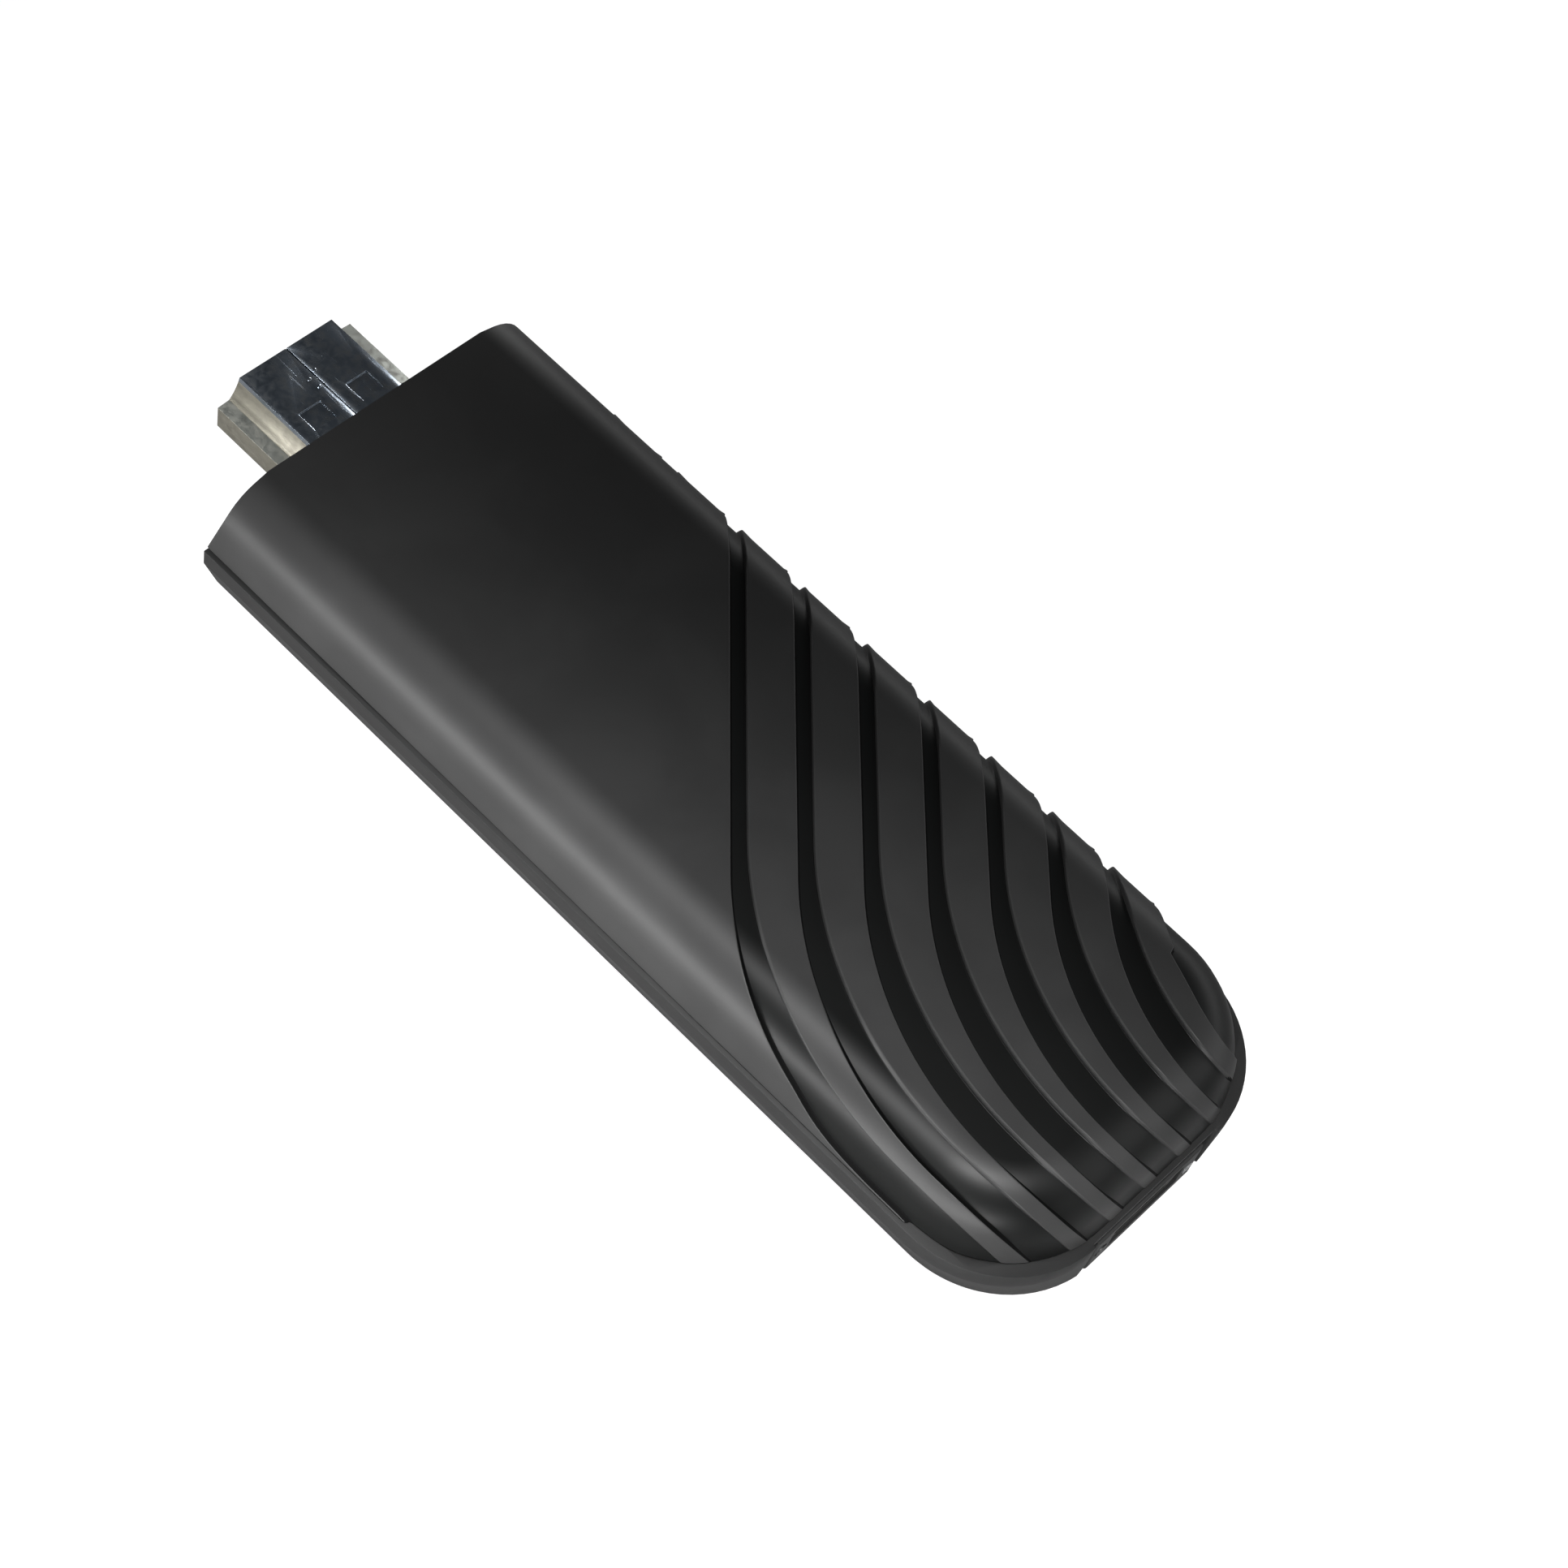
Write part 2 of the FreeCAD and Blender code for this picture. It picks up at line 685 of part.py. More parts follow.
def wave_edge(start, tail_side, radius):
    """One edge of a groove: a slanting straight, a long bend and a roll over the tail.

    start is where the straight crosses the middle line, tail_side the distance from the
    middle line at the tail, both measured along the skin.
    """
    slant = math.sqrt(0.5)
    centre_x = start - tail_side + radius - 2 * radius * slant
    centre_y = tail_side - radius
    outside = body_width.value

    def edge_side(x):
        """Distance from the middle at one x of the bend, or of the straight behind it."""
        ahead = max(x - centre_x, 0)
        return over_shoulder(centre_y + math.sqrt(max(radius ** 2 - ahead ** 2, 0)))

    shoulder = shoulder_radius.value
    last_angle = math.pi / 2 - draft_angle
    first_angle = math.asin(side_level(over_shoulder(tail_side)) / shoulder)
    runs_over_tail = last_angle - first_angle > least_roll
    roll = []
    finish = Vector(centre_x, over_shoulder(tail_side), 0)
    if runs_over_tail:
        for step in range(roll_steps + 1):
            angle = first_angle + (last_angle - first_angle) * step / roll_steps
            roll.append(rolled(edge_side, shoulder * math.sin(angle), shoulder * (1 - math.cos(angle))))
        finish = roll[0]
    bend = []
    bend_start = centre_x + radius * slant
    for step in range(bend_steps):
        x = bend_start + (finish.x - bend_start) * step / bend_steps
        bend.append(Vector(x, edge_side(x), 0))
    bend.append(finish)
    edges = [Part.LineSegment(Vector(start + outside, -outside, 0), bend[0]).toShape(), smooth_line(bend)]
    if runs_over_tail:
        edges.append(smooth_line(roll))
        finish = rolled(edge_side, flat_inset, cover_drop)
        edges.append(Part.LineSegment(roll[-1], finish).toShape())
    edges.append(Part.LineSegment(finish, Vector(-body_length.value, finish.y, 0)).toShape())
    return edges


def wave_groove(index, last):
    """The plan of one groove between its two edges; the last one runs off the corner."""
    start = groove_first.value - groove_pitch.value * index + groove_pitch_fade.value * index ** 2
    side = tail_first.value - tail_pitch.value * index
    radius = bend_radius.value - bend_fade.value * index
    upper = wave_edge(start, side, radius)
    first = upper[0].Vertexes[0].Point
    finish = upper[-1].Vertexes[-1].Point
    if last:
        corner = Vector(finish.x, first.y, 0)
        closing = [Part.LineSegment(finish, corner).toShape(), Part.LineSegment(corner, first).toShape()]
        return Part.Face(Part.Wire(Part.__sortEdges__(upper + closing)))
    lower = wave_edge(start - groove_width.value, side - tail_groove_width.value,
                      radius + bend_spread.value)
    lower_first = lower[0].Vertexes[0].Point
    lower_finish = lower[-1].Vertexes[-1].Point
    closing = [Part.LineSegment(finish, lower_finish).toShape(),
               Part.LineSegment(lower_first, first).toShape()]
    return Part.Face(Part.Wire(Part.__sortEdges__(upper + lower + closing)))


def groove_tool(label, indexes):
    """Upright prisms over the plans of some grooves."""
    prisms = []
    for index in indexes:
        plan = wave_groove(index, index == groove_count - 1)
        prisms.append(plan.extrude(Vector(0, 0, body_height.value * 2)))
    tool = doc.addObject("Part::Feature", label)
    tool.Label = label
    tool.Shape = Part.makeCompound(prisms)
    return tool


grooves = groove_tool("Grooves", range(groove_count))
all_grooves = groove_tool("AllGrooves", range(-side_grooves, groove_count))
ribbed = fused("RibbedCover", [cut("RibTops", cover_solid, grooves), groove_floor])

# The ribs stand a little proud of the far side's wall
side_reach = groove_first + groove_pitch * side_grooves + half_width
side_zone = block("SideZone", (tail_x + cover_tail_inset + cover_corner, -half_width, cover_base),
                  (side_reach - groove_width, -half_width + cover_wall / 2 + cover_inset, side_rib_top))
side_ribs = cut("SideRibs", overlap("SideBand", side_rib_form, side_zone), all_grooves)

# Lips nest inside the tray, their beads click into its recesses
lips = []
lip_outer = half_width - shell_wall - fit_gap
for side, sign in (("Left", 1), ("Right", -1)):
    near, far = ordered(lip_outer * sign, (lip_outer - lip_thickness) * sign)
    low = (lip_tail, near, parting_height - lip_depth)
    high = (lip_front, far, cover_base + lip_thickness)
    lips.append(block(f"Lip{side}", low, high))
    for number, x in enumerate(snap_places, 1):
        near, far = ordered((lip_outer + snap_reach - fit_gap) * sign, (lip_outer - fit_gap) * sign)
        low = (x - snap_length / 2, near, snap_level)
        high = (x + snap_length / 2, far, snap_level + snap_height)
        lips.append(block(f"Snap{side}{number}", low, high))

# Posts clamp the board onto the bosses, two of them round the pins
post_height = body_height - cover_wall + fit_gap - board_top
posts = []
for number, (x, y) in enumerate(boss_places, 1):
    posts.append(rod(f"Post{number}", (x, y, board_top), pin_radius + post_wall, post_height))
post_bores = []
for number, (x, y) in enumerate(pin_places, 1):
    post_bores.append(rod(f"PostBore{number}", (x, y, board_top), pin_radius + fit_gap,
                          board_thickness * 2))

cover_cuts = fused("CoverCuts", [cover_hollow, plug_passage])
cover_shell = cut("CoverShell", fused("CoverSkin", [ribbed, side_ribs]), cover_cuts)
cover_whole = fused("CoverWhole", [cover_shell] + lips + posts)
top_cover = cut("top_cover", cover_whole, grouped("PostBores", post_bores))

# Plug: folded sheet shell, insulator and two rows of contacts
plug_outer = plug_form("PlugOuter", 0, plug_back, plug_tip)
plug_inner = plug_form("PlugInner", -plug_sheet, plug_back - past, plug_tip + past)
latch_start = plug_tip - latch_set_back
plug_top = plug_base + plug_height
latches = []
for number, sign in enumerate((-1, 1), 1):
    centre = latch_offset * sign
    low = (latch_start, centre - latch_width / 2, plug_top - latch_depth)
    high = (latch_start + latch_length, centre + latch_width / 2, plug_top + past)
    latches.append(block(f"Latch{number}", low, high))
    low = (latch_start, centre - latch_width / 2, plug_base - past)
    high = (latch_start + latch_length, centre + latch_width / 2, plug_base + latch_depth)
    latches.append(block(f"LatchBelow{number}", low, high))

# The folded sheet meets in a seam along the middle of the top
seam = block("Seam", (plug_back - past, -seam_width / 2, plug_top - latch_depth),
             (plug_tip + past, seam_width / 2, plug_top + past))

# Four tabs go down through slots in the board
tab_places = [(plug_back + fit_gap * 2 + tab_pitch * row, sign) for row in (0, 1) for sign in (-1, 1)]
tabs = []
tab_slots = []
for number, (start, sign) in enumerate(tab_places, 1):
    near, far = ordered(plug_width / 2 * sign, (plug_width / 2 - plug_sheet) * sign)
    tabs.append(block(f"Tab{number}", (start, near, board_bottom - fit_gap),
                      (start + tab_width, far, plug_base + plug_sheet * 2)))
    tab_slots.append(block(f"TabSlot{number}", (start - fit_gap, near - fit_gap, board_bottom - past),
                           (start + tab_width + fit_gap, far + fit_gap, board_top + past)))
plug_sleeve = cut("PlugSleeve", plug_outer, fused("PlugCuts", [plug_inner, seam] + latches))
hdmi_shell = fused("hdmi_shell", [plug_sleeve] + tabs)


def contact(label, y, level, leg):
    """One blade with a step down to its foot on the board."""
    body = new_body(label)
    sketch = sketch_on(body, "XZ_Plane", -y + contact_width / 2)
    blade_end = plug_tip - blade_set_back
    foot = plug_back - leg
    heel = foot + contact_sheet
    toe = foot - foot_length
    top = level + contact_sheet
    foot_top = board_top + contact_sheet
    outline(sketch, [(toe, board_top), (heel, board_top), (heel, level), (blade_end, level),
                     (blade_end, top), (foot, top), (foot, foot_top), (toe, foot_top)])
    pad(body, sketch, contact_width, backwards=True)
    return body


def contact_row(label, count, level, leg):
    """Blades side by side about the plug's middle."""
    places = [contact_pitch * (number - (count - 1) / 2) for number in range(count)]
    return [contact(f"{label}{number}", y, level, leg) for number, y in enumerate(places, 1)]


lower_level = slot_middle - slot_height / 2 - contact_sheet / 2
lower_row = contact_row("LowerContact", 10, lower_level, foot_set_back)
upper_row = contact_row("UpperContact", 9, lower_level + slot_height,
                        foot_set_back + foot_stagger)
hdmi_contacts_lower = grouped("hdmi_contacts_lower", lower_row)
hdmi_contacts_upper = grouped("hdmi_contacts_upper", upper_row)
insulator_block = plug_form("InsulatorBlock", -(plug_sheet + press_gap), plug_back,
                            plug_tip - insulator_set_back)
slot = block("ContactSlot", (front_x, -slot_width / 2, slot_middle - slot_height / 2),
             (plug_tip + past, slot_width / 2, slot_middle + slot_height / 2))
insulator_cuts = fused("InsulatorCuts", [slot] + lower_row + upper_row)
hdmi_insulator = cut("hdmi_insulator", insulator_block, insulator_cuts)


# Port bezel: a raised panel in the tail opening, held by a flange behind the wall
def port_bezel_body():
    body = new_body("BezelBody")
    half = port_half - port_moat
    face = sketch_on(body, "YZ_Plane", bezel_front)
    rectangle(face, -half, fit_gap, half, bezel_top)
    pad(body, face, bezel_back - bezel_front)
    flange = sketch_on(body, "YZ_Plane", flange_front)
    reach = port_half + bezel_flange
    rectangle(flange, -reach, shell_floor + slip_gap, reach, parting_height - fit_gap)
    pad(body, flange, bezel_flange)
    soften(body, "PartDesign::Fillet", bezel_round,
           lambda edge: edge.BoundBox.XMax < bezel_front.value + 0.01)
    return body


bezel_cuts = [block("InletWindow", (tail_x - past, -inlet_width / 2 - inlet_gap, inlet_base - inlet_gap),
                    (bezel_back + past, inlet_width / 2 + inlet_gap, inlet_top + inlet_gap)),
              rod("ButtonHole", (tail_x - past, side_hole_offset, side_hole_height),
                  button_radius + button_clearance, shell_wall * 4, "x"),
              rod("LightHole", (tail_x - past, -side_hole_offset, side_hole_height),
                  button_radius + button_clearance, shell_wall * 4, "x"),
              block("BezelSill", (flange_front - fit_gap, -port_width, -past),
                    (bezel_back + past, port_width, shell_floor + slip_gap))]
port_bezel = cut("port_bezel", port_bezel_body(), fused("BezelCuts", bezel_cuts))


def turned(label, y, steps):
    """A round piece along X at one of the side holes, from (start, radius) steps."""
    body = new_body(label)
    sketch = sketch_on(body, "XZ_Plane", -y)
    base = side_hole_height
    corners = [(steps[0][0], base)]
    for (start, radius), (end, following) in zip(steps, steps[1:]):
        corners += [(start, base + radius), (end, base + radius)]
    corners.append((steps[-1][0], base))
    outline(sketch, corners[::-1])
    feature = body.newObject("PartDesign::Revolution", label + "Turn")
    feature.Profile = sketch
    feature.ReferenceAxis = (sketch, [f"Edge{len(corners)}"])
    feature.Angle = 360
    doc.recompute()
    return body


# Reset button, its switch and the light guide
stem_end = bezel_back + stem_length
collar_start = bezel_back + button_clearance
collar_end = collar_start + collar_length
switch_start = stem_end + button_travel + plunger_length
reset_button = turned("reset_button", side_hole_offset, [
    (bezel_front - button_clearance * 2, button_radius), (collar_start, collar_radius),
    (collar_end, neck_radius), (stem_end, button_radius)])
light_pipe = turned("light_pipe", -side_hole_offset, [
    (bezel_front - button_clearance, button_radius), (collar_start, collar_radius),
    (collar_end, button_radius), (stem_end, button_radius)])

switch_block = centred_block("SwitchBlock", (switch_start + switch_length / 2, side_hole_offset),
                             board_bottom - switch_height, switch_length, switch_width, switch_height)


def beside_port(label, start, end, half_y, half_z):
    """A bar along X, centred on the button's line."""
    return block(label, (start, side_hole_offset - half_y, side_hole_height - half_z),
                 (end, side_hole_offset + half_y, side_hole_height + half_z))


chamber_half = switch_height / 2 - switch_wall
chamber_end = switch_start + switch_length - switch_wall
switch_chamber = beside_port("SwitchChamber", switch_start + switch_wall, chamber_end,
                             switch_width / 2 - switch_wall, chamber_half)
plunger_half = plunger_width / 2
way_half = plunger_half + button_clearance
plunger_way = beside_port("PlungerWay", switch_start - past, switch_start + switch_wall * 2,
                          way_half, way_half)
switch_body = cut("switch_body", switch_block, fused("SwitchCuts", [switch_chamber, plunger_way]))
plunger_end = switch_start + switch_wall + fit_gap
switch_plunger = beside_port("switch_plunger", stem_end, plunger_end, plunger_half, plunger_half)


def dome_body():
    """A thin bowed spring leaf behind the plunger."""
    body = new_body("switch_dome")
    sketch = sketch_on(body, "XY_Plane", side_hole_height - dome_height / 2)
    front = plunger_end + button_clearance
    half = switch_width / 2 - switch_wall - fit_gap
    bow = [(chamber_end, half), (front, dome_sheet * 3), (front, -dome_sheet * 3), (chamber_end, -half),
           (chamber_end, dome_sheet * 2 - half), (front + dome_sheet, -dome_sheet * 2),
           (front + dome_sheet, dome_sheet * 2), (chamber_end, half - dome_sheet * 2)]
    outline(sketch, [(x, side_hole_offset + y) for x, y in bow])
    pad(body, sketch, dome_height)
    return body


switch_dome = dome_body()
status_led = centred_block("status_led", (stem_end + fit_gap + led_depth / 2, -side_hole_offset),
                           board_bottom - led_height, led_depth, led_width, led_height)


# Charging inlet: sheet shell with slanting lower corners, tongue and five contacts
def inlet_section(grow):
    half = inlet_width / 2 + grow
    low, high = inlet_base - grow, inlet_top + grow
    return [(-half + inlet_slope, low), (half - inlet_slope, low), (half, low + inlet_slope), (half, high),
            (-half, high), (-half, low + inlet_slope)]


def inlet_form(label, grow, start, end):
    body = new_body(label)
    sketch = sketch_on(body, "YZ_Plane", start)
    outline(sketch, inlet_section(measure(grow)))
    pad(body, sketch, end - start)
    return body


inlet_front = bezel_front + inlet_gap
inlet_back = inlet_front + inlet_depth
inlet_floor = inlet_back - inlet_block
inlet_outer = inlet_form("InletOuter", 0, inlet_front, inlet_back)
inlet_inner = inlet_form("InletInner", -inlet_sheet, inlet_front - past, inlet_back + past)
usb_shell = cut("usb_shell", inlet_outer, inlet_inner)
tongue_top = inlet_top - tongue_drop
tongue_base = tongue_top - tongue_sheet
tongue_front = inlet_front + tongue_set_back
inlet_plug = inlet_form("InletPlug", -(inlet_sheet + press_gap), inlet_floor, inlet_back)
tongue = block("Tongue", (tongue_front, -tongue_width / 2, tongue_base),
               (inlet_floor + fit_gap, tongue_width / 2, tongue_top))
usb_strips = []
for number in range(5):
    y = usb_pitch * (number - 2)
    low = (tongue_front + inlet_sheet, y - strip_width / 2, tongue_base - contact_sheet / 2)
    high = (inlet_floor, y + strip_width / 2, tongue_base + contact_sheet / 2)
    usb_strips.append(block(f"InletContact{number}", low, high))
usb_contacts = grouped("usb_contacts", usb_strips)
tongue_whole = fused("TongueWhole", [inlet_plug, tongue])
usb_tongue = cut("usb_tongue", tongue_whole, grouped("TongueGrooves", usb_strips))


# Circuit board with a notch for the inlet, holes for the pins and slots for the tabs
def board_body():
    body = new_body("BoardBody")
    plan = sketch_on(body, "XY_Plane", board_bottom)
    plan_outline(plan, board_tail, board_half, board_corner, board_front)
    pad(body, plan, board_thickness)
    return body


board_cuts = [block("InletNotch", (board_tail - past, -inlet_width / 2 - fit_gap, board_bottom - past),
                    (inlet_back + fit_gap, inlet_width / 2 + fit_gap, board_top + past))]
for number, (x, y) in enumerate(pin_places, 1):
    board_cuts.append(rod(f"BoardHole{number}", (x, y, board_bottom - past), pin_radius + fit_gap,
                          board_thickness + 2))
circuit_board = cut("circuit_board", board_body(), fused("BoardCuts", board_cuts + tab_slots))

# Chips inside the shield, two memory chips behind the main one
soc_x = shield_centre + shield_length / 2 - part_gap * 2 - soc_side / 2
soc_chip = centred_block("soc_chip", (soc_x, 0), board_top, soc_side, soc_side, chip_height)
ram_x = soc_x - soc_side / 2 - ram_length / 2 - part_gap * 2
ram_pair = []
for number, sign in enumerate((-1, 1), 1):
    centre = (ram_x, (ram_width + ram_gap) / 2 * sign)
    ram_pair.append(centred_block(f"MemoryChip{number}", centre, board_top,
                                  ram_length, ram_width, ram_height))
ram_chips = grouped("ram_chips", ram_pair)


def shield_block(label, base, grow, height):
    """A block over the shield's plan, grown all round."""
    return centred_block(label, (shield_centre, 0), base, shield_length + grow * 2,
                         shield_width + grow * 2, height)


shield_outer = shield_block("ShieldOuter", board_top, measure(0), shield_height)
shield_inner = shield_block("ShieldInner", board_top - past, -shield_sheet,
                            shield_height - shield_sheet + past)
shield_window = shield_block("ShieldWindow", board_top, -frame_rim, shield_height * 2)
shield_frame = cut("shield_frame", shield_outer, fused("FrameCuts", [shield_inner, shield_window]))
lid_base = board_top + shield_height
lid_outer = shield_block("LidOuter", lid_base - lid_skirt, shield_sheet + slip_gap,
                         lid_skirt + shield_sheet)
lid_inner = shield_block("LidInner", lid_base - lid_skirt - past, slip_gap, lid_skirt + past)
shield_lid = cut("shield_lid", lid_outer, lid_inner)
chip_thermal_pad = centred_block("chip_thermal_pad", (soc_x, 0), board_top + chip_height,
                                 soc_side, soc_side, shield_height - chip_height)
lid_top = lid_base + shield_sheet
lid_thermal_pad = centred_block("lid_thermal_pad", (shield_centre, 0), lid_top, pad_length, pad_width,
                                pad_thickness)


# Heat spreader: a plate with both long edges turned down
def spreader_body():
    body = new_body("heat_spreader")
    half = shield_width / 2 + shield_sheet + spreader_clearance + spreader_thickness
    under = lid_top + pad_thickness
    top = under + spreader_thickness
    foot = under - spreader_flange
    section = sketch_on(body, "YZ_Plane", shield_centre - spreader_length / 2)
    inner = half - spreader_thickness
    outline(section, [(-half, foot), (-inner, foot), (-inner, under), (inner, under), (inner, foot),
                      (half, foot), (half, top), (-half, top)])
    pad(body, section, spreader_length)
    soften(body, "PartDesign::Fillet", spreader_round,
           lambda edge: edge.BoundBox.XLength > spreader_length.value * 0.9
           and edge.BoundBox.ZMin > top.value - 0.01)
    return body


heat_spreader = spreader_body()

# Parts outside the shield
shield_tail = shield_centre - shield_length / 2
shield_front = shield_centre + shield_length / 2
flash_x = shield_tail - part_gap - flash_length / 2
flash_chip = centred_block("flash_chip", (flash_x, (flash_width - part_gap) / 2), board_top,
                           flash_length, flash_width, chip_height)
wifi_x = shield_tail - part_gap - wifi_side / 2
wifi_module = centred_block("wifi_module", (wifi_x, -part_gap - wifi_side / 2), board_top,
                            wifi_side, wifi_side, wifi_height)
power_x = shield_front + power_gap + power_side / 2
power_chip = centred_block("power_chip", (power_x, 0), board_top, power_side, power_side, power_height)
coils = []
for number, sign in enumerate((-1, 1), 1):
    centre = (power_x, (coil_side + part_gap) * sign)
    coils.append(centred_block(f"Coil{number}", centre, board_top, coil_side, coil_side, coil_height))
power_inductors = grouped("power_inductors", coils)
crystal = centred_block("crystal", (inlet_back + crystal_gap + crystal_width / 2, 0), board_top,
                        crystal_width, crystal_length, crystal_height)
capacitor_columns = 6
capacitor_set = []
for number in range(capacitor_columns * 2):
    column, row = divmod(number, 2)
    x = shield_centre + capacitor_pitch * (column - (capacitor_columns - 1) / 2)
    y = capacitor_offset * (row * 2 - 1)
    capacitor_set.append(centred_block(f"Capacitor{number + 1}", (x, y), board_bottom - capacitor_height,
                                       capacitor_length, capacitor_width, capacitor_height))
capacitors = grouped("capacitors", capacitor_set)

# Two folded antennas stand on the board beside the inlet
antenna_start = board_tail + antenna_start_gap
antenna_offset = board_half - antenna_side_gap
antenna_top = board_top + antenna_height
antenna_pair = []
for side, sign in (("Left", 1), ("Right", -1)):
    outer = (antenna_offset + antenna_sheet) * sign
    near, far = ordered(outer, antenna_offset * sign)
    upright = block(f"AntennaUpright{side}", (antenna_start, near, board_top),
                    (antenna_start + antenna_length, far, antenna_top))
    near, far = ordered(outer, outer - antenna_arm * sign)
    arm = block(f"AntennaArm{side}", (antenna_start, near, antenna_top - antenna_sheet),
                (antenna_start + antenna_length, far, antenna_top))
    antenna_pair.append(fused(f"Antenna{side}", [upright, arm]))
antennas = grouped("antennas", antenna_pair)

# Insulating film on the floor below the board
film_half = boss_offset - boss_radius
insulation_film = block("insulation_film", (boss_tail + boss_radius, -film_half, shell_floor),
                        (boss_front - boss_radius, film_half, shell_floor + film_thickness))

doc.recompute()
sub_parts = [
    top_cover, bottom_shell, port_bezel, reset_button, switch_plunger, switch_body, switch_dome, light_pipe,
    status_led, usb_shell, usb_tongue, usb_contacts, hdmi_shell, hdmi_insulator, hdmi_contacts_upper,
    hdmi_contacts_lower, circuit_board, soc_chip, ram_chips, chip_thermal_pad, shield_frame, shield_lid,
    lid_thermal_pad, heat_spreader, flash_chip, wifi_module, power_chip, power_inductors, crystal,
    capacitors, antennas, insulation_film]

for item in doc.Objects:
    if "Invalid" in item.State or "Error" in item.State:
        raise ValueError(f"{item.Label} did not compute: {item.State}")
for item in sub_parts:
    if item.Shape.isNull() or not item.Shape.isValid():
        raise ValueError(f"{item.Label} has no valid shape")

for item in sub_parts:
    item.Shape.exportStep(f"parts/{item.Label}.step")
    bounds = item.Shape.BoundBox
    print(f"{item.Label}: {len(item.Shape.Solids)} solid(s), {item.Shape.Volume:.1f} mm3, "
          f"x {bounds.XMin:.2f} to {bounds.XMax:.2f}, y {bounds.YMin:.2f} to {bounds.YMax:.2f}, "
          f"z {bounds.ZMin:.2f} to {bounds.ZMax:.2f}")
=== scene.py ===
# %% [markdown]
# # Streaming stick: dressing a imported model
# The stick's solids come from the CAD side, already in metres and in their right places. This lesson
# loads them, gives every surface a finish that is mixed from nodes, rounds the edges that a mould or a
# press tool would round, and sets a camera, a floor and soft lights.

# %% Load the frame
import json
import math

import bmesh
import bpy
import numpy as np
from mathutils import Matrix, Vector
from mathutils.geometry import delaunay_2d_cdt


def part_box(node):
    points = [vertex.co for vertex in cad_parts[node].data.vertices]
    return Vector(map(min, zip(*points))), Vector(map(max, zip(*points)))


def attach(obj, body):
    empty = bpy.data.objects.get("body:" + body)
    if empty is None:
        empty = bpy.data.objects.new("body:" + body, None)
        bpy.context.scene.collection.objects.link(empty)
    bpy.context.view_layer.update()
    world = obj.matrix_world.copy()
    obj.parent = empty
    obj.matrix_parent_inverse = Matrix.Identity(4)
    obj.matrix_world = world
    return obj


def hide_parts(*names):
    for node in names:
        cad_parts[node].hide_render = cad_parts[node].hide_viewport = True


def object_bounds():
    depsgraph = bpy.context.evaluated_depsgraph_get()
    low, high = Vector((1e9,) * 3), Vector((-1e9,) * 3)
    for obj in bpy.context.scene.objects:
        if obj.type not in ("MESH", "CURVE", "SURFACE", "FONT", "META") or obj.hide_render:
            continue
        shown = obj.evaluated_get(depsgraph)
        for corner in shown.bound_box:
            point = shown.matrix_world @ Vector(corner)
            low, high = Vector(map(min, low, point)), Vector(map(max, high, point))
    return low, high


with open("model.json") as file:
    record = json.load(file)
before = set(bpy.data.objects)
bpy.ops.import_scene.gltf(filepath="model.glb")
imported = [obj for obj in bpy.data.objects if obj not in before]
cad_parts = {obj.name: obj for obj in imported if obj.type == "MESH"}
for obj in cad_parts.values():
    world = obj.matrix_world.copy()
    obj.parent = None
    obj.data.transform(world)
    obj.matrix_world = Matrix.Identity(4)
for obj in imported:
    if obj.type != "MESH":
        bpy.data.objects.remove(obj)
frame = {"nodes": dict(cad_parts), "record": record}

MM = 0.001
cad_low, cad_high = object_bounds()
nodes = frame["nodes"]
print("nodes:", len(nodes), " box in mm:", [round(side / MM, 2) for side in cad_high - cad_low])

# %% [markdown]
# ## The camera
# A photograph fixes the camera by the way the housing's edges run together. The lens is a short
# telephoto. The camera stands over the tail, looks down at the top, and is turned about its own axis, so
# the stick lies across the frame from upper left to lower right. A camera in Blender looks along its own
# -Z, with +Y up in the picture, so its matrix is built from the three directions. They could be turned by
# eye, but these come from a pinhole camera fitted to the housing's corners, which is surer.

# %% Camera


def add_object(name, data):
    """Put a mesh, a lamp or a camera in the scene, as an object of that name."""
    obj = bpy.data.objects.new(name, data)
    bpy.context.scene.collection.objects.link(obj)
    return obj


camera_place = Vector((-67.87, 115.50, 214.85)) * MM
camera_right = Vector((-0.70475, -0.68952, 0.16699))
camera_down = Vector((-0.65702, 0.54551, -0.52033))
camera_forward = Vector((0.26769, -0.47641, -0.83748))
camera_data = bpy.data.cameras.new("camera")
camera_data.sensor_width = 36
camera_data.lens = 75.16
camera_data.clip_start = 0.01
camera_data.clip_end = 20
camera = add_object("camera", camera_data)
turn = Matrix((camera_right, -camera_down, -camera_forward)).transposed()
camera.matrix_world = Matrix.Translation(camera_place) @ turn.to_4x4()
bpy.context.scene.camera = camera
print("camera distance in mm:", round(camera.location.length / MM))

# %% [markdown]
# ## Writing node maths as plain expressions
# A material's nodes are easier to read as sums. This small class wraps an output socket. Adding,
# subtracting or multiplying two of them puts a Math node in the tree, so `1 - mark` is one node and not a
# paragraph.

# %% The socket class


class Wire:
    """An output socket that can be used in arithmetic."""

    def __init__(self, tree, socket):
        self.tree = tree
        self.socket = socket

    def math(self, operation, *values):
        return make(self.tree, "ShaderNodeMath", {"operation": operation}, dict(enumerate((self, *values))))

    def __add__(self, other):
        return self.math("ADD", other)

    def __sub__(self, other):
        return self.math("SUBTRACT", other)

    def __rsub__(self, other):
        return self.math("MULTIPLY_ADD", -1.0, other)

    def __mul__(self, other):
        return self.math("MULTIPLY", other)

    __radd__ = __add__
    __rmul__ = __mul__

    def ramp(self, low, high):
        """0 below low, 1 above high, smooth between."""
        return make(self.tree, "ShaderNodeMapRange", {"interpolation_type": "SMOOTHSTEP"},
                    {"Value": self, "From Min": low, "From Max": high})


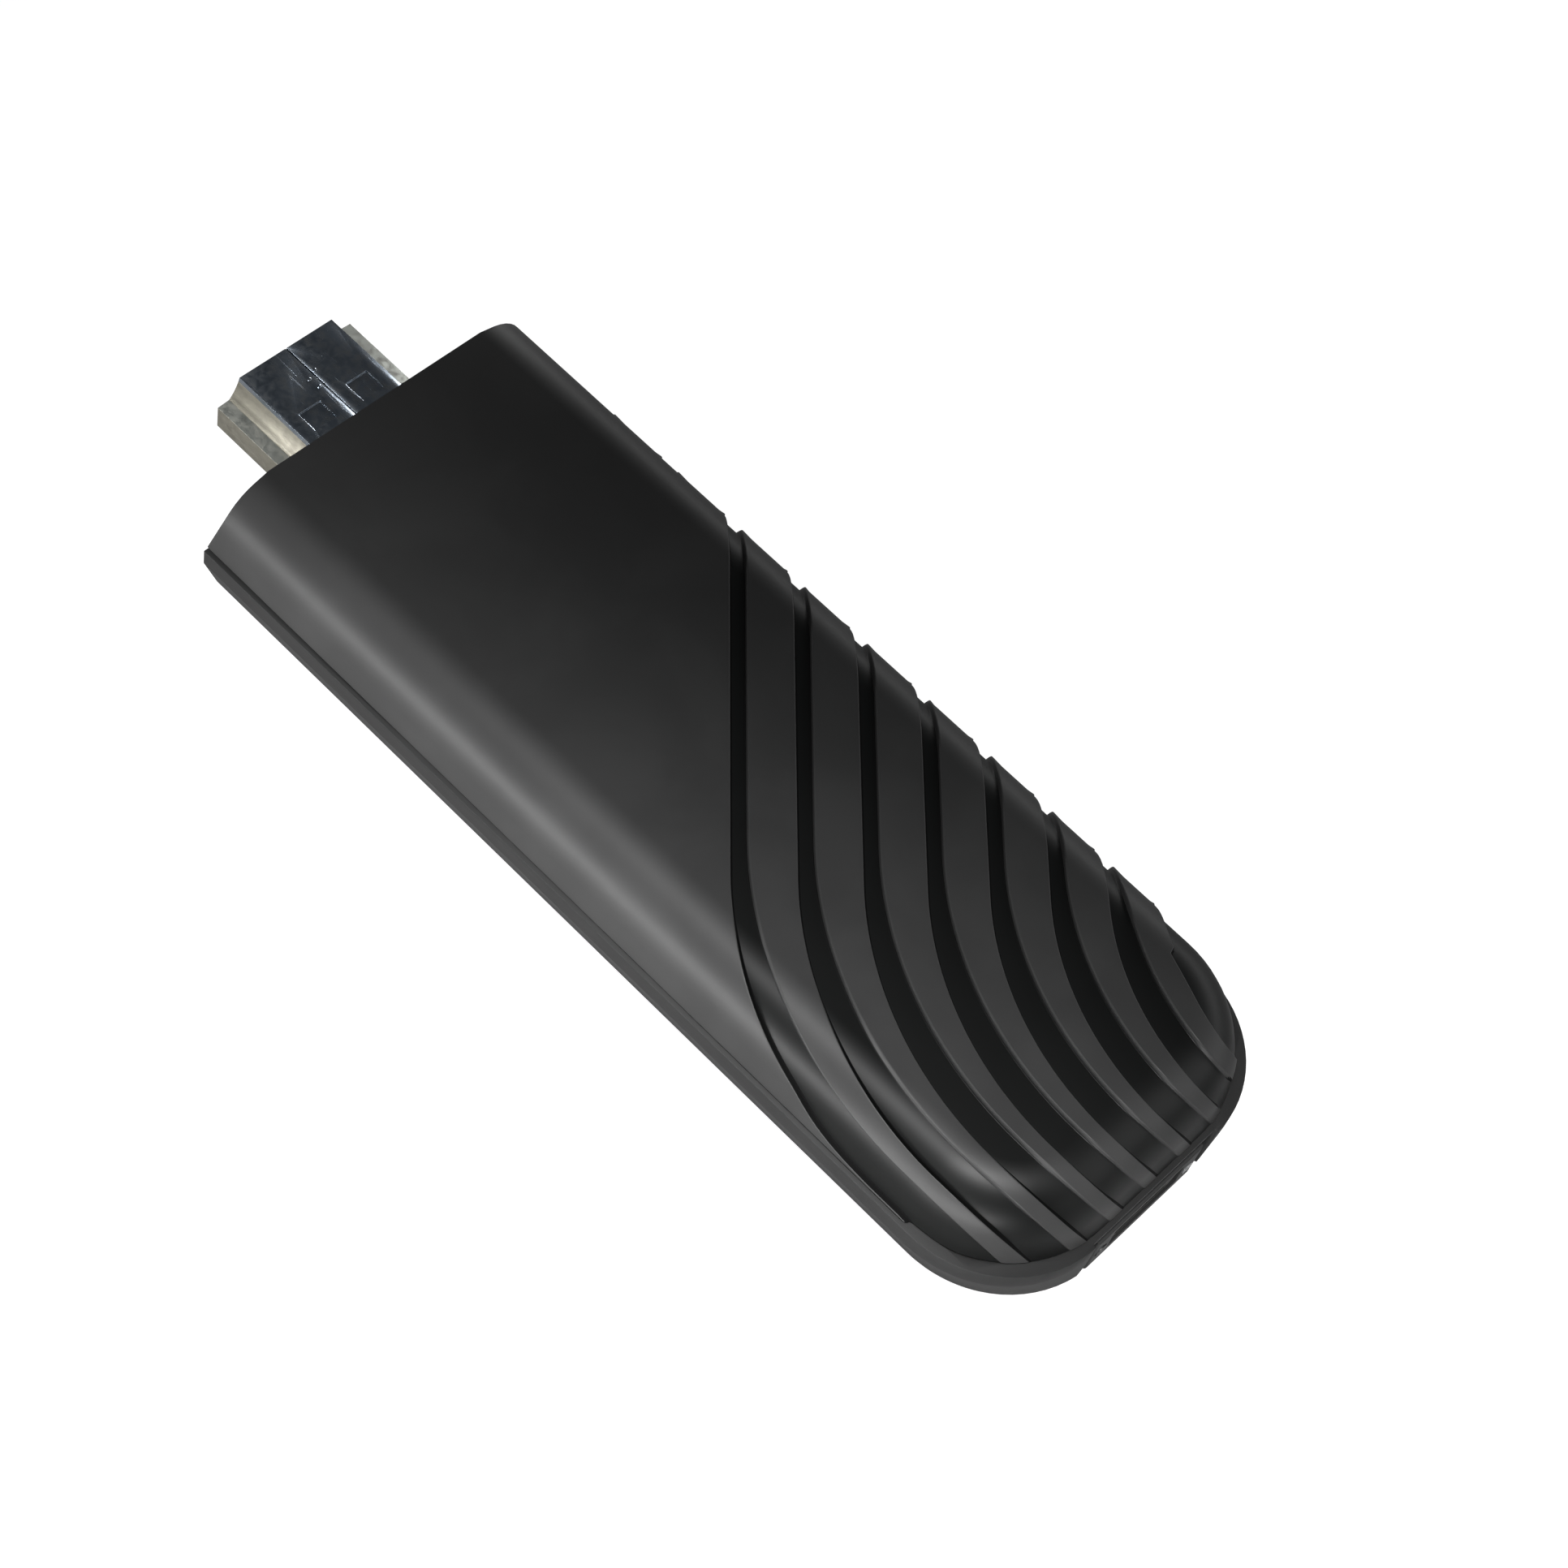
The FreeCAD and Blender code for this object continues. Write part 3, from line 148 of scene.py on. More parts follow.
def make(tree, kind, settings, sockets, output=0):
    """Add one node: its settings first, then the values or wires of its sockets."""
    node = tree.nodes.new(kind)
    for name, value in settings.items():
        setattr(node, name, value)
    for key, value in sockets.items():
        socket = node.inputs[key]
        if isinstance(value, Wire):
            tree.links.new(value.socket, socket)
        else:
            socket.default_value = value
    return Wire(tree, node.outputs[output])


# %% [markdown]
# ## A finish
# Every finish starts from one Principled shader. What is the same all over is set on the shader itself.
# What changes over the surface, such as grain, mottling and rubbed patches, is mixed from noise that is
# measured in millimetres on the part, so it stays with a piece when the piece moves. Textures could be
# painted on an unwrapped mesh instead, but node maths needs no unwrapping and stays sharp from near by.

# %% The finish class


def grey(level):
    return (level, level, level, 1.0)


def shade(colour, share=1.0):
    """A colour made darker or lighter by a share, with full alpha."""
    return (*[share * level for level in colour], 1.0)


class Finish:
    """A material with a Principled shader and part coordinates in millimetres."""

    def __init__(self, name, colour, roughness, metallic=0.0, **constants):
        self.material = bpy.data.materials.new(name)
        self.material.use_nodes = True
        self.tree = self.material.node_tree
        self.shader = self.tree.nodes["Principled BSDF"]
        self.shader.inputs["Base Color"].default_value = shade(colour)
        self.shader.inputs["Roughness"].default_value = roughness
        self.shader.inputs["Metallic"].default_value = metallic
        for key, value in constants.items():
            self.shader.inputs[key.replace("_", " ")].default_value = value
        in_metres = make(self.tree, "ShaderNodeTexCoord", {}, {}, "Object")
        self.place = make(self.tree, "ShaderNodeVectorMath", {"operation": "MULTIPLY"},
                          {0: in_metres, 1: (1 / MM, 1 / MM, 1 / MM)})

    def along(self, scale):
        """The part coordinates, squeezed or stretched along each axis, so that noise can run in streaks."""
        return make(self.tree, "ShaderNodeVectorMath", {"operation": "MULTIPLY"}, {0: self.place, 1: scale})

    def noise(self, grain, detail=2.0, where=None, distortion=0.0):
        """Noise with features about grain millimetres across, from 0 to 1."""
        return make(self.tree, "ShaderNodeTexNoise", {},
                    {"Vector": where or self.place, "Scale": 1.0 / grain, "Detail": detail,
                     "Distortion": distortion}, "Fac")

    def mix(self, factor, first, second):
        """A colour between two colours: sockets 6 and 7 of a Mix node, whose output 2 is the result."""
        return make(self.tree, "ShaderNodeMix", {"data_type": "RGBA"}, {0: factor, 6: first, 7: second}, 2)

    def feed(self, key, wire):
        self.tree.links.new(wire.socket, self.shader.inputs[key])

    def bump(self, height, reach):
        """Relief reach millimetres deep where height goes from 0 to 1."""
        return make(self.tree, "ShaderNodeBump", {}, {"Height": height, "Distance": reach * MM})


# %% [markdown]
# ## Moulded plastics
# The cover is a satin black moulding. The tool was spark eroded, which leaves a fine pebbled grain a
# tenth of a millimetre across, so highlights are broad and soft. The groove floors are far blacker than
# the ribs, and their grain is flatter. Along each groove's shaded edge runs a thin strip of painted shade,
# near black and dull, where the edge's short wall lies in shadow. The grain could be modelled, but it is
# so fine that relief in the shading looks the same and costs no triangles.

# %% Satin and black mouldings


def moulded(name, colour, roughness, grain, relief, mottle=0.05, scuffs=0.0, **constants):
    """Moulded plastic: pebbles, with grain and relief in millimetres, slow changes in gloss, rub marks."""
    plastic = Finish(name, colour, roughness, **constants)
    pebbles = plastic.noise(grain, detail=3.0)
    flow = plastic.noise(9.0, detail=3.0, distortion=0.4)
    tone = plastic.mix(flow.ramp(0.3, 0.7), shade(colour, 0.92), shade(colour, 1.1))
    gloss = roughness + (flow - 0.5) * mottle + (pebbles - 0.5) * (0.6 * mottle)
    if scuffs:
        streak = plastic.noise(1.2, detail=4.0, where=plastic.along((0.25, 2.5, 2.5)), distortion=0.6)
        rubbed = streak.ramp(0.62, 0.72) * plastic.noise(14.0).ramp(0.48, 0.66)
        gloss = gloss - rubbed * scuffs
    plastic.feed("Base Color", tone)
    plastic.feed("Roughness", gloss)
    plastic.feed("Normal", plastic.bump(pebbles, relief))
    return plastic.material


cover_satin = moulded("cover_satin", (0.038, 0.038, 0.038), 0.44, 0.11, 0.004, scuffs=0.06,
                      Specular_IOR_Level=0.3)
groove_gloss = moulded("groove_gloss", (0.0035, 0.0038, 0.0037), 0.42, 0.16, 0.0010, mottle=0.02,
                       Specular_IOR_Level=0.3)
# Painted shade: a near-black, dull finish for the strip along each groove's shaded edge
painted_groove_shade = moulded("painted_groove_shade", (0.0012, 0.0012, 0.0012), 0.7, 0.16, 0.0010, mottle=0.02,
                      Specular_IOR_Level=0.1)
tray_satin = moulded("tray_satin", (0.020, 0.020, 0.020), 0.50, 0.10, 0.004, scuffs=0.06,
                     Specular_IOR_Level=0.3)
port_matt = moulded("port_matt", (0.014, 0.014, 0.014), 0.50, 0.08, 0.005)
button_satin = moulded("button_satin", (0.020, 0.020, 0.020), 0.40, 0.08, 0.003)
connector_black = moulded("connector_black", (0.012, 0.012, 0.013), 0.42, 0.08, 0.003)
switch_black = moulded("switch_black", (0.02, 0.02, 0.021), 0.45, 0.08, 0.003)
plunger_white = moulded("plunger_white", (0.78, 0.76, 0.70), 0.45, 0.08, 0.003)
chip_black = moulded("chip_black", (0.018, 0.018, 0.02), 0.55, 0.06, 0.006)
ferrite_grey = moulded("ferrite_grey", (0.05, 0.05, 0.055), 0.6, 0.1, 0.01)
pad_blue = moulded("pad_blue", (0.20, 0.28, 0.38), 0.75, 0.3, 0.02)
film_black = moulded("film_black", (0.02, 0.02, 0.022), 0.25, 1.5, 0.01)
lamp_white = moulded("lamp_white", (0.75, 0.75, 0.68), 0.3, 0.2, 0.002)
print("materials so far, with the CAD's own:", len(bpy.data.materials))

# %% [markdown]
# ## Metals
# The plug is folded from nickel plated sheet. It shows fine rolling lines along the plug, tiny scratches
# from being plugged in and cloudy finger marks. The streaks come from noise squeezed to be long one way
# and short the other. The plug's top is a mirror with a bluish tint, its sides have a warmer tint and are
# duller, and its ledges have a greyer tint and are dullest. The three tints are painted reflection, as the
# sheet is one colour all over. The inlet's shell is plated dark. Painted scratches would repeat from piece
# to piece, and noise doesn't.

# %% Plated and pressed metal
grime = (0.47, 0.44, 0.37)


def plated(name, colour, roughness, streak=(0.12, 3.0, 3.0), smudge=0.0):
    """Plated sheet: rolling lines, scratches, cloudy patches and, on handled metal, dull finger marks."""
    metal = Finish(name, colour, roughness, 1.0)
    lines = metal.noise(0.35, detail=4.0, where=metal.along(streak))
    scratch = metal.noise(0.5, detail=2.0, where=metal.along((0.08, 2.0, 1.2)), distortion=1.5)
    scratch = scratch.ramp(0.66, 0.70)
    haze = metal.noise(1.6, detail=4.0, distortion=0.8)
    tone = metal.mix(haze.ramp(0.35, 0.75), shade(colour), shade(colour, 0.78))
    if smudge:
        mark = metal.noise(0.7, detail=6.0, distortion=0.5).ramp(0.35, 0.75)
        tone = metal.mix(mark * 0.5, tone, shade(grime, 0.55))
        metal.feed("Metallic", 1.0 - mark * smudge)
    metal.feed("Base Color", tone)
    metal.feed("Roughness", roughness + (haze - 0.5) * 0.12 + scratch * 0.12 + (lines - 0.5) * 0.06)
    metal.feed("Normal", metal.bump(lines + scratch, 0.0012))
    return metal.material


# Painted reflection: the one plated sheet gets a bluish tint on top, a warm one on the sides, a greyer one
# on the ledges
plug_top_painted_reflection = plated("plug_top_painted_reflection", (0.46, 0.53, 0.62), 0.20, smudge=0.22)
plug_side_painted_reflection = plated("plug_side_painted_reflection", (0.44, 0.42, 0.35), 0.45, smudge=0.3)
plug_ledge_painted_reflection = plated("plug_ledge_painted_reflection", (0.52, 0.54, 0.50), 0.50, smudge=1.0)
inlet_nickel = plated("inlet_nickel", (0.12, 0.12, 0.115), 0.45)
contact_gold = plated("contact_gold", (0.80, 0.56, 0.20), 0.22)
dome_steel = plated("dome_steel", (0.62, 0.61, 0.59), 0.28)
shield_tin = plated("shield_tin", (0.62, 0.62, 0.61), 0.36, streak=(3.0, 0.15, 3.0))
spreader_alloy = plated("spreader_alloy", (0.74, 0.745, 0.75), 0.33, streak=(0.1, 3.0, 3.0))
crystal_can = plated("crystal_can", (0.68, 0.67, 0.64), 0.2)
print("with the metals:", len(bpy.data.materials))

# %% [markdown]
# ## Board, light guide and small parts
# The board is green solder mask over glass cloth. The weave shows as a faint crossed relief, and copper
# tracks lie under the mask as slightly lighter lanes. The light guide is clear polished acrylic. The
# small parts have the speckled brown of fired ceramic. Tracks could be modelled, but the board lies
# inside and is seldom seen, so texture nodes are enough.

# %% Solder mask
mask = Finish("solder_mask", (0.012, 0.085, 0.035), 0.32, Coat_Weight=0.4, Coat_Roughness=0.15)
warp, weft = (make(mask.tree, "ShaderNodeTexWave", {"bands_direction": way},
                   {"Vector": mask.place, "Scale": 0.7, "Distortion": 1.5, "Detail": 1.0}, "Fac")
              for way in ("X", "Y"))
tracks = make(mask.tree, "ShaderNodeTexBrick", {"offset": 0.5},
              {"Vector": mask.place, "Scale": 0.42, "Mortar Size": 0.035, "Color1": grey(0.0),
               "Color2": grey(0.0), "Mortar": grey(1.0)}, "Fac")
mask.feed("Base Color", mask.mix(tracks, (0.010, 0.075, 0.030, 1), (0.022, 0.15, 0.062, 1)))
mask.feed("Roughness", 0.30 + mask.noise(3.0) * 0.08)
mask.feed("Normal", mask.bump(warp * weft + tracks * 0.8, 0.012))
solder_mask = mask.material
print("nodes in the solder mask:", len(mask.tree.nodes))

# %% Light guide and ceramic
guide = Finish("clear_acrylic", (0.90, 0.93, 0.95), 0.08, Transmission_Weight=0.85, IOR=1.49)
guide.feed("Roughness", 0.06 + guide.noise(0.6) * 0.08)
guide.feed("Normal", guide.bump(guide.noise(0.5), 0.002))
clear_acrylic = guide.material

part_ends = Finish("fired_ceramic", (0.42, 0.30, 0.20), 0.45)
speckle = part_ends.noise(0.12, detail=3.0)
part_ends.feed("Base Color", part_ends.mix(speckle, (0.36, 0.25, 0.16, 1), (0.50, 0.38, 0.27, 1)))
part_ends.feed("Normal", part_ends.bump(speckle, 0.004))
fired_ceramic = part_ends.material
print("with the board's and the small parts':", len(bpy.data.materials))

# %% [markdown]
# ## Which node gets which finish
# The record names a slot for each node. One table turns those slots into finishes, and each node's object
# gets its material in its first slot. The nodes could be named one by one, but a table can't miss one: a
# slot that it lacks stops the script.

# %% Finishes on the CAD nodes
finishes = {
    "cover_plastic": cover_satin, "shell_plastic": tray_satin, "port_plastic": port_matt,
    "button_plastic": button_satin, "plunger_plastic": plunger_white, "switch_plastic": switch_black,
    "spring_steel": dome_steel, "light_guide": clear_acrylic, "led_package": lamp_white,
    "plug_metal": plug_top_painted_reflection, "inlet_metal": inlet_nickel, "connector_plastic": connector_black,
    "gold_contact": contact_gold, "board": solder_mask, "chip": chip_black, "shield_metal": shield_tin,
    "thermal_pad": pad_blue, "spreader_metal": spreader_alloy, "coil": ferrite_grey,
    "crystal_can": crystal_can, "ceramic_part": fired_ceramic, "film": film_black,
}
slot_of = {row["node"]: row["material_slot"] for row in frame["record"]["subparts"]}
for name, node in nodes.items():
    node.data.materials.clear()
    node.data.materials.append(finishes[slot_of[name]])
print("nodes with a finish:", len(nodes))

# %% [markdown]
# ## The cover laid out flat
# The cover is one moulding: a flat top, a deep round shoulder and walls with draft, crossed by eight
# grooves that start slantwise, bend and run over the tail. CAD leaves the grooves' edges razor sharp, and
# a bevel on such a mesh smears its shading. So the skin is drawn again from the same sizes. It is first
# laid out flat, as a pattern cutter would: the flat top keeps its place, and the shoulder and wall are
# rolled out around it. The rows of points that form each edge are drawn on that pattern, and every point
# then goes back on the shoulder.

# %% Sizes of the cover, in millimetres
tray_low, tray_high = (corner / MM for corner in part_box("bottom_shell"))
tail_x, front_x, half_width = tray_low.x, tray_high.x, tray_high.y
parting_gap = 0.2
tail_inset = 0.65
side_inset = 0.35
cover_base = tray_high.z + parting_gap
cover_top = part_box("top_cover")[1].z / MM
cover_tail = tail_x + tail_inset
cover_half = half_width - side_inset
cover_corner = 10.5
cover_wall = 1.65
draft = math.radians(8)
shoulder = 5.0

arc_length = shoulder * (math.pi / 2 - draft)
arc_reach = shoulder * math.cos(draft)
cover_drop = cover_top - cover_base
arc_drop = shoulder * (1 - math.sin(draft))
wall_drop = cover_drop - arc_drop
flat_inset = arc_reach + wall_drop * math.tan(draft)
skin_reach = arc_length + wall_drop / math.cos(draft)
flat_tail = cover_tail + flat_inset
flat_half = cover_half - flat_inset
flat_corner = cover_corner - flat_inset
print("skin beyond the flat top in mm:", round(skin_reach, 2))

# %% From plan to pattern and back
# The first keeps a division away from zero; the second finds the rim in spite of rounding
tiny = 1e-9
rim_slack = 1e-4


def outward(points):
    """How far points lie beyond the flat top, and in which direction."""
    along = np.maximum(flat_tail + flat_corner - points[:, 0], 0)
    across = np.maximum(np.abs(points[:, 1]) - flat_half + flat_corner, 0)
    reach = np.hypot(along, across)
    away = np.column_stack((-along, across * np.sign(points[:, 1]))) / np.maximum(reach, tiny)[:, None]
    return reach - flat_corner, away


def unroll(points):
    """Points seen from above become points of the flat pattern."""
    beyond, away = outward(points)
    bent = np.arcsin(np.clip(beyond, 0, arc_reach) / shoulder) * shoulder
    upright = np.maximum(beyond - arc_reach, 0) / math.sin(draft)
    return points + away * (bent + upright - np.maximum(beyond, 0))[:, None]


def roll_up(points, depth):
    """Points of the flat pattern go back on the cover and sink by their depth."""
    along, away = outward(points)
    at_base = along > skin_reach - rim_slack
    along = np.maximum(along, 0)
    lean = np.minimum(along, arc_length) / shoulder
    upright = np.maximum(along - arc_length, 0)
    out = shoulder * np.sin(lean) + upright * math.sin(draft)
    drop = shoulder * (1 - np.cos(lean)) + upright * math.cos(draft)
    plan = points + away * (out - along - depth * np.sin(lean))[:, None]
    height = np.maximum(cover_top - drop - depth * np.cos(lean), cover_base)
    return np.column_stack((plan, np.where(at_base, cover_base, height)))


rim_point = np.array([[front_x, flat_half + skin_reach]])
print("the rim's front end, rolled up, in mm:", roll_up(rim_point, 0)[0].round(2))

# %% [markdown]
# ## The wave grooves
# Each edge is a slanting straight, a long bend and a roll over the tail. The distance from the middle is
# measured along the skin, so an outer groove narrows, seen from above, where the skin turns down. Over
# the tail the edges veer sideways as they fall. Where a groove starts, how far from the middle it ends
# and how tight its bend is change evenly from one groove to the next, so a short formula gives all of
# them. The edges could be drawn by hand one by one, but a formula keeps them smooth and evenly spaced.

# %% The course of a groove edge
groove_depth = 0.4
groove_count = 8
side_grooves = 2
first_start, start_step, start_swell = 2.75, 7.1, 0.073
first_side, side_step = 18.48, 3.87
first_radius, radius_step = 33.9, 1.87
to_lower_edge = (-1.74, -2.47, 2.42)
slant = math.sqrt(0.5)
tail_veer = 0.57
veer_rounds = 12


def over_shoulder(distance):
    """A distance from the middle along the skin, seen from above."""
    flat = cover_half - shoulder
    turned = np.clip((distance - flat) / shoulder, 0, math.pi / 2)
    beyond = np.maximum(distance - flat - shoulder * math.pi / 2, 0)
    return np.minimum(distance, flat) + shoulder * np.sin(turned) * (distance > flat) + beyond


def wave(index, lower):
    """Start on the middle line, distance from it at the tail, and bend radius of one edge."""
    start = first_start - start_step * index + start_swell * index ** 2
    side = first_side - side_step * index
    radius = first_radius - radius_step * index
    edge = (start, side, radius)
    return tuple(value + change for value, change in zip(edge, to_lower_edge)) if lower else edge


def wave_side(x, start, side, radius):
    """Distance of an edge from the middle line along the stick; its first stretch slants by 45 degrees."""
    centre = start - side + radius - 2 * radius * slant
    bend = side - radius + np.sqrt(np.maximum(radius ** 2 - (x - centre) ** 2, 0))
    return over_shoulder(np.where(x > centre + radius * slant, start - x, np.where(x < centre, side, bend)))


def side_level(side):
    """How far out on the side's shoulder a place lies."""
    return np.clip(side - flat_half, 0, arc_reach)


def rolled(edge, out, fall):
    """The points of an edge on levels of the tail, where the edge veers as it falls."""
    x = flat_tail - out
    for _ in range(veer_rounds):
        side = wave_side(x, *edge)
        side_fall = shoulder - np.sqrt(shoulder ** 2 - side_level(side) ** 2)
        y = side - tail_veer * np.maximum(fall - side_fall, 0)
        across = np.clip(np.abs(y) - flat_half + flat_corner, 0, flat_corner + out)
        x = flat_tail + flat_corner - np.sqrt((flat_corner + out) ** 2 - across ** 2)
    return np.column_stack((x, y))


print("first groove's start, side and bend:", wave(0, False), " its other edge:", wave(0, True))

# %% [markdown]
# ## Points along the groove edges
# An edge is traced in fine steps, then cut where it leaves the skin and divided evenly. Two more grooves
# would come before the first one. They are drawn only low on the far side, where the ribs between the
# grooves stand proud of the wall. Five rows of points make an edge: two round it over, two make the short
# wall, and one starts the floor. Each row has its distance towards the rib, its share of the depth and
# its tilt.

# %% Groove edges
edge_rows = ((0.15, 0.0, 0), (0.06, 0.07, 38), (0.0, 0.32, 66), (-0.05, 0.82, 58), (-0.14, 1.0, 0))
row_step = 0.7
overrun = 0.9
outside = 1
fine_step = 0.01
lean_levels = 40
wall_levels = 12
least_lean = math.radians(3)
least_steps = 3
side_line = 5.2


def wave_line(edge):
    """One edge on the flat pattern, as points in equal steps that end just outside the skin."""
    first_lean = math.asin(side_level(over_shoulder(edge[1])) / shoulder)
    last_lean = math.pi / 2 - draft
    if last_lean - first_lean > least_lean:
        lean = np.linspace(first_lean, last_lean, lean_levels)
        wall = np.linspace(0, wall_drop + overrun, wall_levels)[1:]
        out = np.concatenate((shoulder * np.sin(lean), arc_reach + wall * math.tan(draft)))
        fall = np.concatenate((shoulder * (1 - np.cos(lean)), arc_drop + wall))
        tail = rolled(edge, out, fall)
    else:
        tail = np.array([[tail_x - outside, wave_side(tail_x - outside, *edge)]])
    x = np.arange(edge[0] + half_width + outside, tail[0, 0], -fine_step)
    pattern = unroll(np.vstack((np.column_stack((x, wave_side(x, *edge))), tail)))
    pattern = pattern[(outward(pattern)[0] < skin_reach + overrun) & (pattern[:, 0] < front_x + overrun)]
    steps = np.hypot(*np.diff(pattern, axis=0).T)
    length = np.concatenate(([0], np.cumsum(steps)))
    even = np.linspace(0, length[-1], max(int(length[-1] / row_step), least_steps))
    return np.column_stack([np.interp(even, length, pattern[:, axis]) for axis in (0, 1)])


edge_lines = []
for index in range(-side_grooves, groove_count):
    for lower in (False, True):
        if lower and index == groove_count - 1 or not lower and index == -side_grooves:
            continue
        line = wave_line(wave(index, lower))
        if index < 0:
            line = line[(outward(line)[0] > side_line) & (line[:, 1] < 0)]
        course = np.gradient(line, axis=0)
        course /= np.hypot(*course.T)[:, None]
        to_rib = np.column_stack((course[:, 1], -course[:, 0])) * (-1 if lower else 1)
        edge_lines.append((line, to_rib, groove_depth if index >= 0 else 0.0))
print("groove edges:", len(edge_lines), " points:", sum(len(line) for line, _, _ in edge_lines))

# %% [markdown]
# ## Joining the points into a skin
# A constrained triangulation takes the outline, the rows of every groove edge and a few contour lines of
# the shoulder, and fills in the triangles. It also tells which drawn line each finished edge came from,
# so every point on a row gets exactly that row's depth. Every other point looks for the nearest groove
# edge and asks on which side of it it lies and how near.

# %% Lines on the pattern
least_run = 2
least_bend = 4
pattern_points = []
pattern_edges = []
edge_marks = []


def contour(reach, step):
    """Points at one distance outside the flat top, from the left front corner round the tail."""
    radius = flat_corner + reach
    near = flat_tail + flat_corner
    run_x = np.linspace(front_x, near, max(int((front_x - near) / step), least_run), endpoint=False)
    run = np.column_stack((run_x, np.full(len(run_x), flat_half + reach)))
    turns = np.linspace(math.pi / 2, math.pi, max(int(radius * math.pi / 2 / step), least_bend))
    bend = np.column_stack((near + radius * np.cos(turns), flat_half - flat_corner + radius * np.sin(turns)))
    left = np.vstack((run, bend))
    return np.vstack((left, left[::-1] * (1, -1)))


def draw(points, mark=None, closed=False):
    """Add a line to the pattern; its mark is its row on a groove edge and that groove's depth."""
    first = len(pattern_points)
    pattern_points.extend(Vector(point) for point in points)
    links = [(first + number, first + number + 1) for number in range(len(points) - 1)]
    if closed:
        links.append((first + len(points) - 1, first))
    pattern_edges.extend(links)
    edge_marks.extend([mark] * len(links))


outline_step = 0.8
draw(contour(skin_reach, outline_step), closed=True)
draw(contour(0, outline_step)[1:-1])
draw(contour(arc_length, outline_step)[1:-1])
for line, to_rib, line_depth in edge_lines:
    for number, (reach, _, _) in enumerate(edge_rows):
        draw(line + to_rib * reach, (number, line_depth))
print("points on drawn lines:", len(pattern_points))

# %% Fill in the triangles
contour_step = 0.75
filling_step = 0.9
filling_margin = 0.4
clear_of_lines = 0.5
whole_hull = 0
weld = 1e-5
line_points = np.vstack([line for line, _, _ in edge_lines])
line_sides = np.vstack([to_rib for _, to_rib, _ in edge_lines])
line_depths = np.concatenate([np.full(len(line), line_depth) for line, _, line_depth in edge_lines])
for reach in np.arange(contour_step, skin_reach - filling_margin, contour_step):
    for point in contour(reach, filling_step)[1:-1]:
        if np.min(np.hypot(*(line_points - point).T)) > clear_of_lines:
            pattern_points.append(Vector(point))
found = delaunay_2d_cdt(pattern_points, pattern_edges, [], whole_hull, weld)
found_points, found_edges, triangles, _, edge_origins, _ = found
skin_points = np.array([tuple(point) for point in found_points])
print("pattern points:", len(skin_points), " triangles:", len(triangles))

# %% Place of every point on its groove edge
row_places, row_shares, row_tilts = np.array(edge_rows).T
place = np.zeros(len(skin_points))
cut = np.zeros(len(skin_points))
to_floor = np.zeros((len(skin_points), 2))
for number, point in enumerate(skin_points):
    offset = point - line_points
    nearest = np.argmin(offset[:, 0] ** 2 + offset[:, 1] ** 2)
    place[number] = offset[nearest] @ line_sides[nearest]
    cut[number] = line_depths[nearest]
    to_floor[number] = -line_sides[nearest]
for ends, origins in zip(found_edges, edge_origins):
    for origin in origins:
        if edge_marks[origin]:
            row, cut[list(ends)] = edge_marks[origin]
            place[list(ends)] = row_places[row]
progress = np.interp(place, row_places[::-1], row_shares[::-1])
print("points on groove floors:", int((progress * cut >= groove_depth).sum()))

# %% Depth of every point
kept_depth = 0.15
tail_facing = (0.1, 0.5)
rim_band = 0.3
rib_proud = 0.34
side_ribs_down = (5.7, 6.6)
side_ribs_along = (-32.2, -31.2)


def smooth_step(values, low, high):
    """0 below low, 1 above high, smooth between."""
    share = np.clip((values - low) / (high - low), 0, 1)
    return share * share * (3 - 2 * share)


# Near the tail's rim the grooves grow shallow, down to a small share of their depth
beyond, away = outward(skin_points)
near_rim = smooth_step(beyond, side_line, skin_reach - rim_band)
run_out = near_rim * smooth_step(-away[:, 0], *tail_facing)
cut = cut * (1 - (1 - kept_depth) * run_out)

# Between the grooves the ribs stand proud of the far side's wall
on_side = smooth_step(beyond, *side_ribs_down) * smooth_step(skin_points[:, 0], *side_ribs_along)
on_side = on_side * (skin_points[:, 1] < 0)
depth = progress * cut - rib_proud * on_side * (1 - progress)
skin_verts = roll_up(skin_points, depth)
print("height of the skin in mm:", skin_verts[:, 2].min().round(2), "to", skin_verts[:, 2].max().round(2))

# %% [markdown]
# ## Shading of the skin
# Triangles this small and this uneven would show in the highlights if Blender averaged their directions.
# The formula knows better which way the skin faces: it is the shoulder's own direction, tilted towards
# the floor on the rows of an edge. Those directions are worked out here, and the mesh gets them further
# on.

# %% Direction of every point
step_share = (cut + rib_proud * on_side) / groove_depth
tilt = np.radians(np.interp(place, row_places[::-1], row_tilts[::-1])) * np.minimum(step_share, 1)
lean = np.clip(beyond, 0, arc_length) / shoulder
upward = np.column_stack((away * np.sin(lean)[:, None], np.cos(lean)))
outway = (to_floor * away).sum(axis=1)
in_plan = to_floor + away * (outway * (np.cos(lean) - 1))[:, None]
slope_way = np.column_stack((in_plan, -outway * np.sin(lean)))
skin_normals = upward * np.cos(tilt)[:, None] + slope_way * np.sin(tilt)[:, None]
print("steepest tilt in degrees:", np.degrees(tilt.max()).round(1))
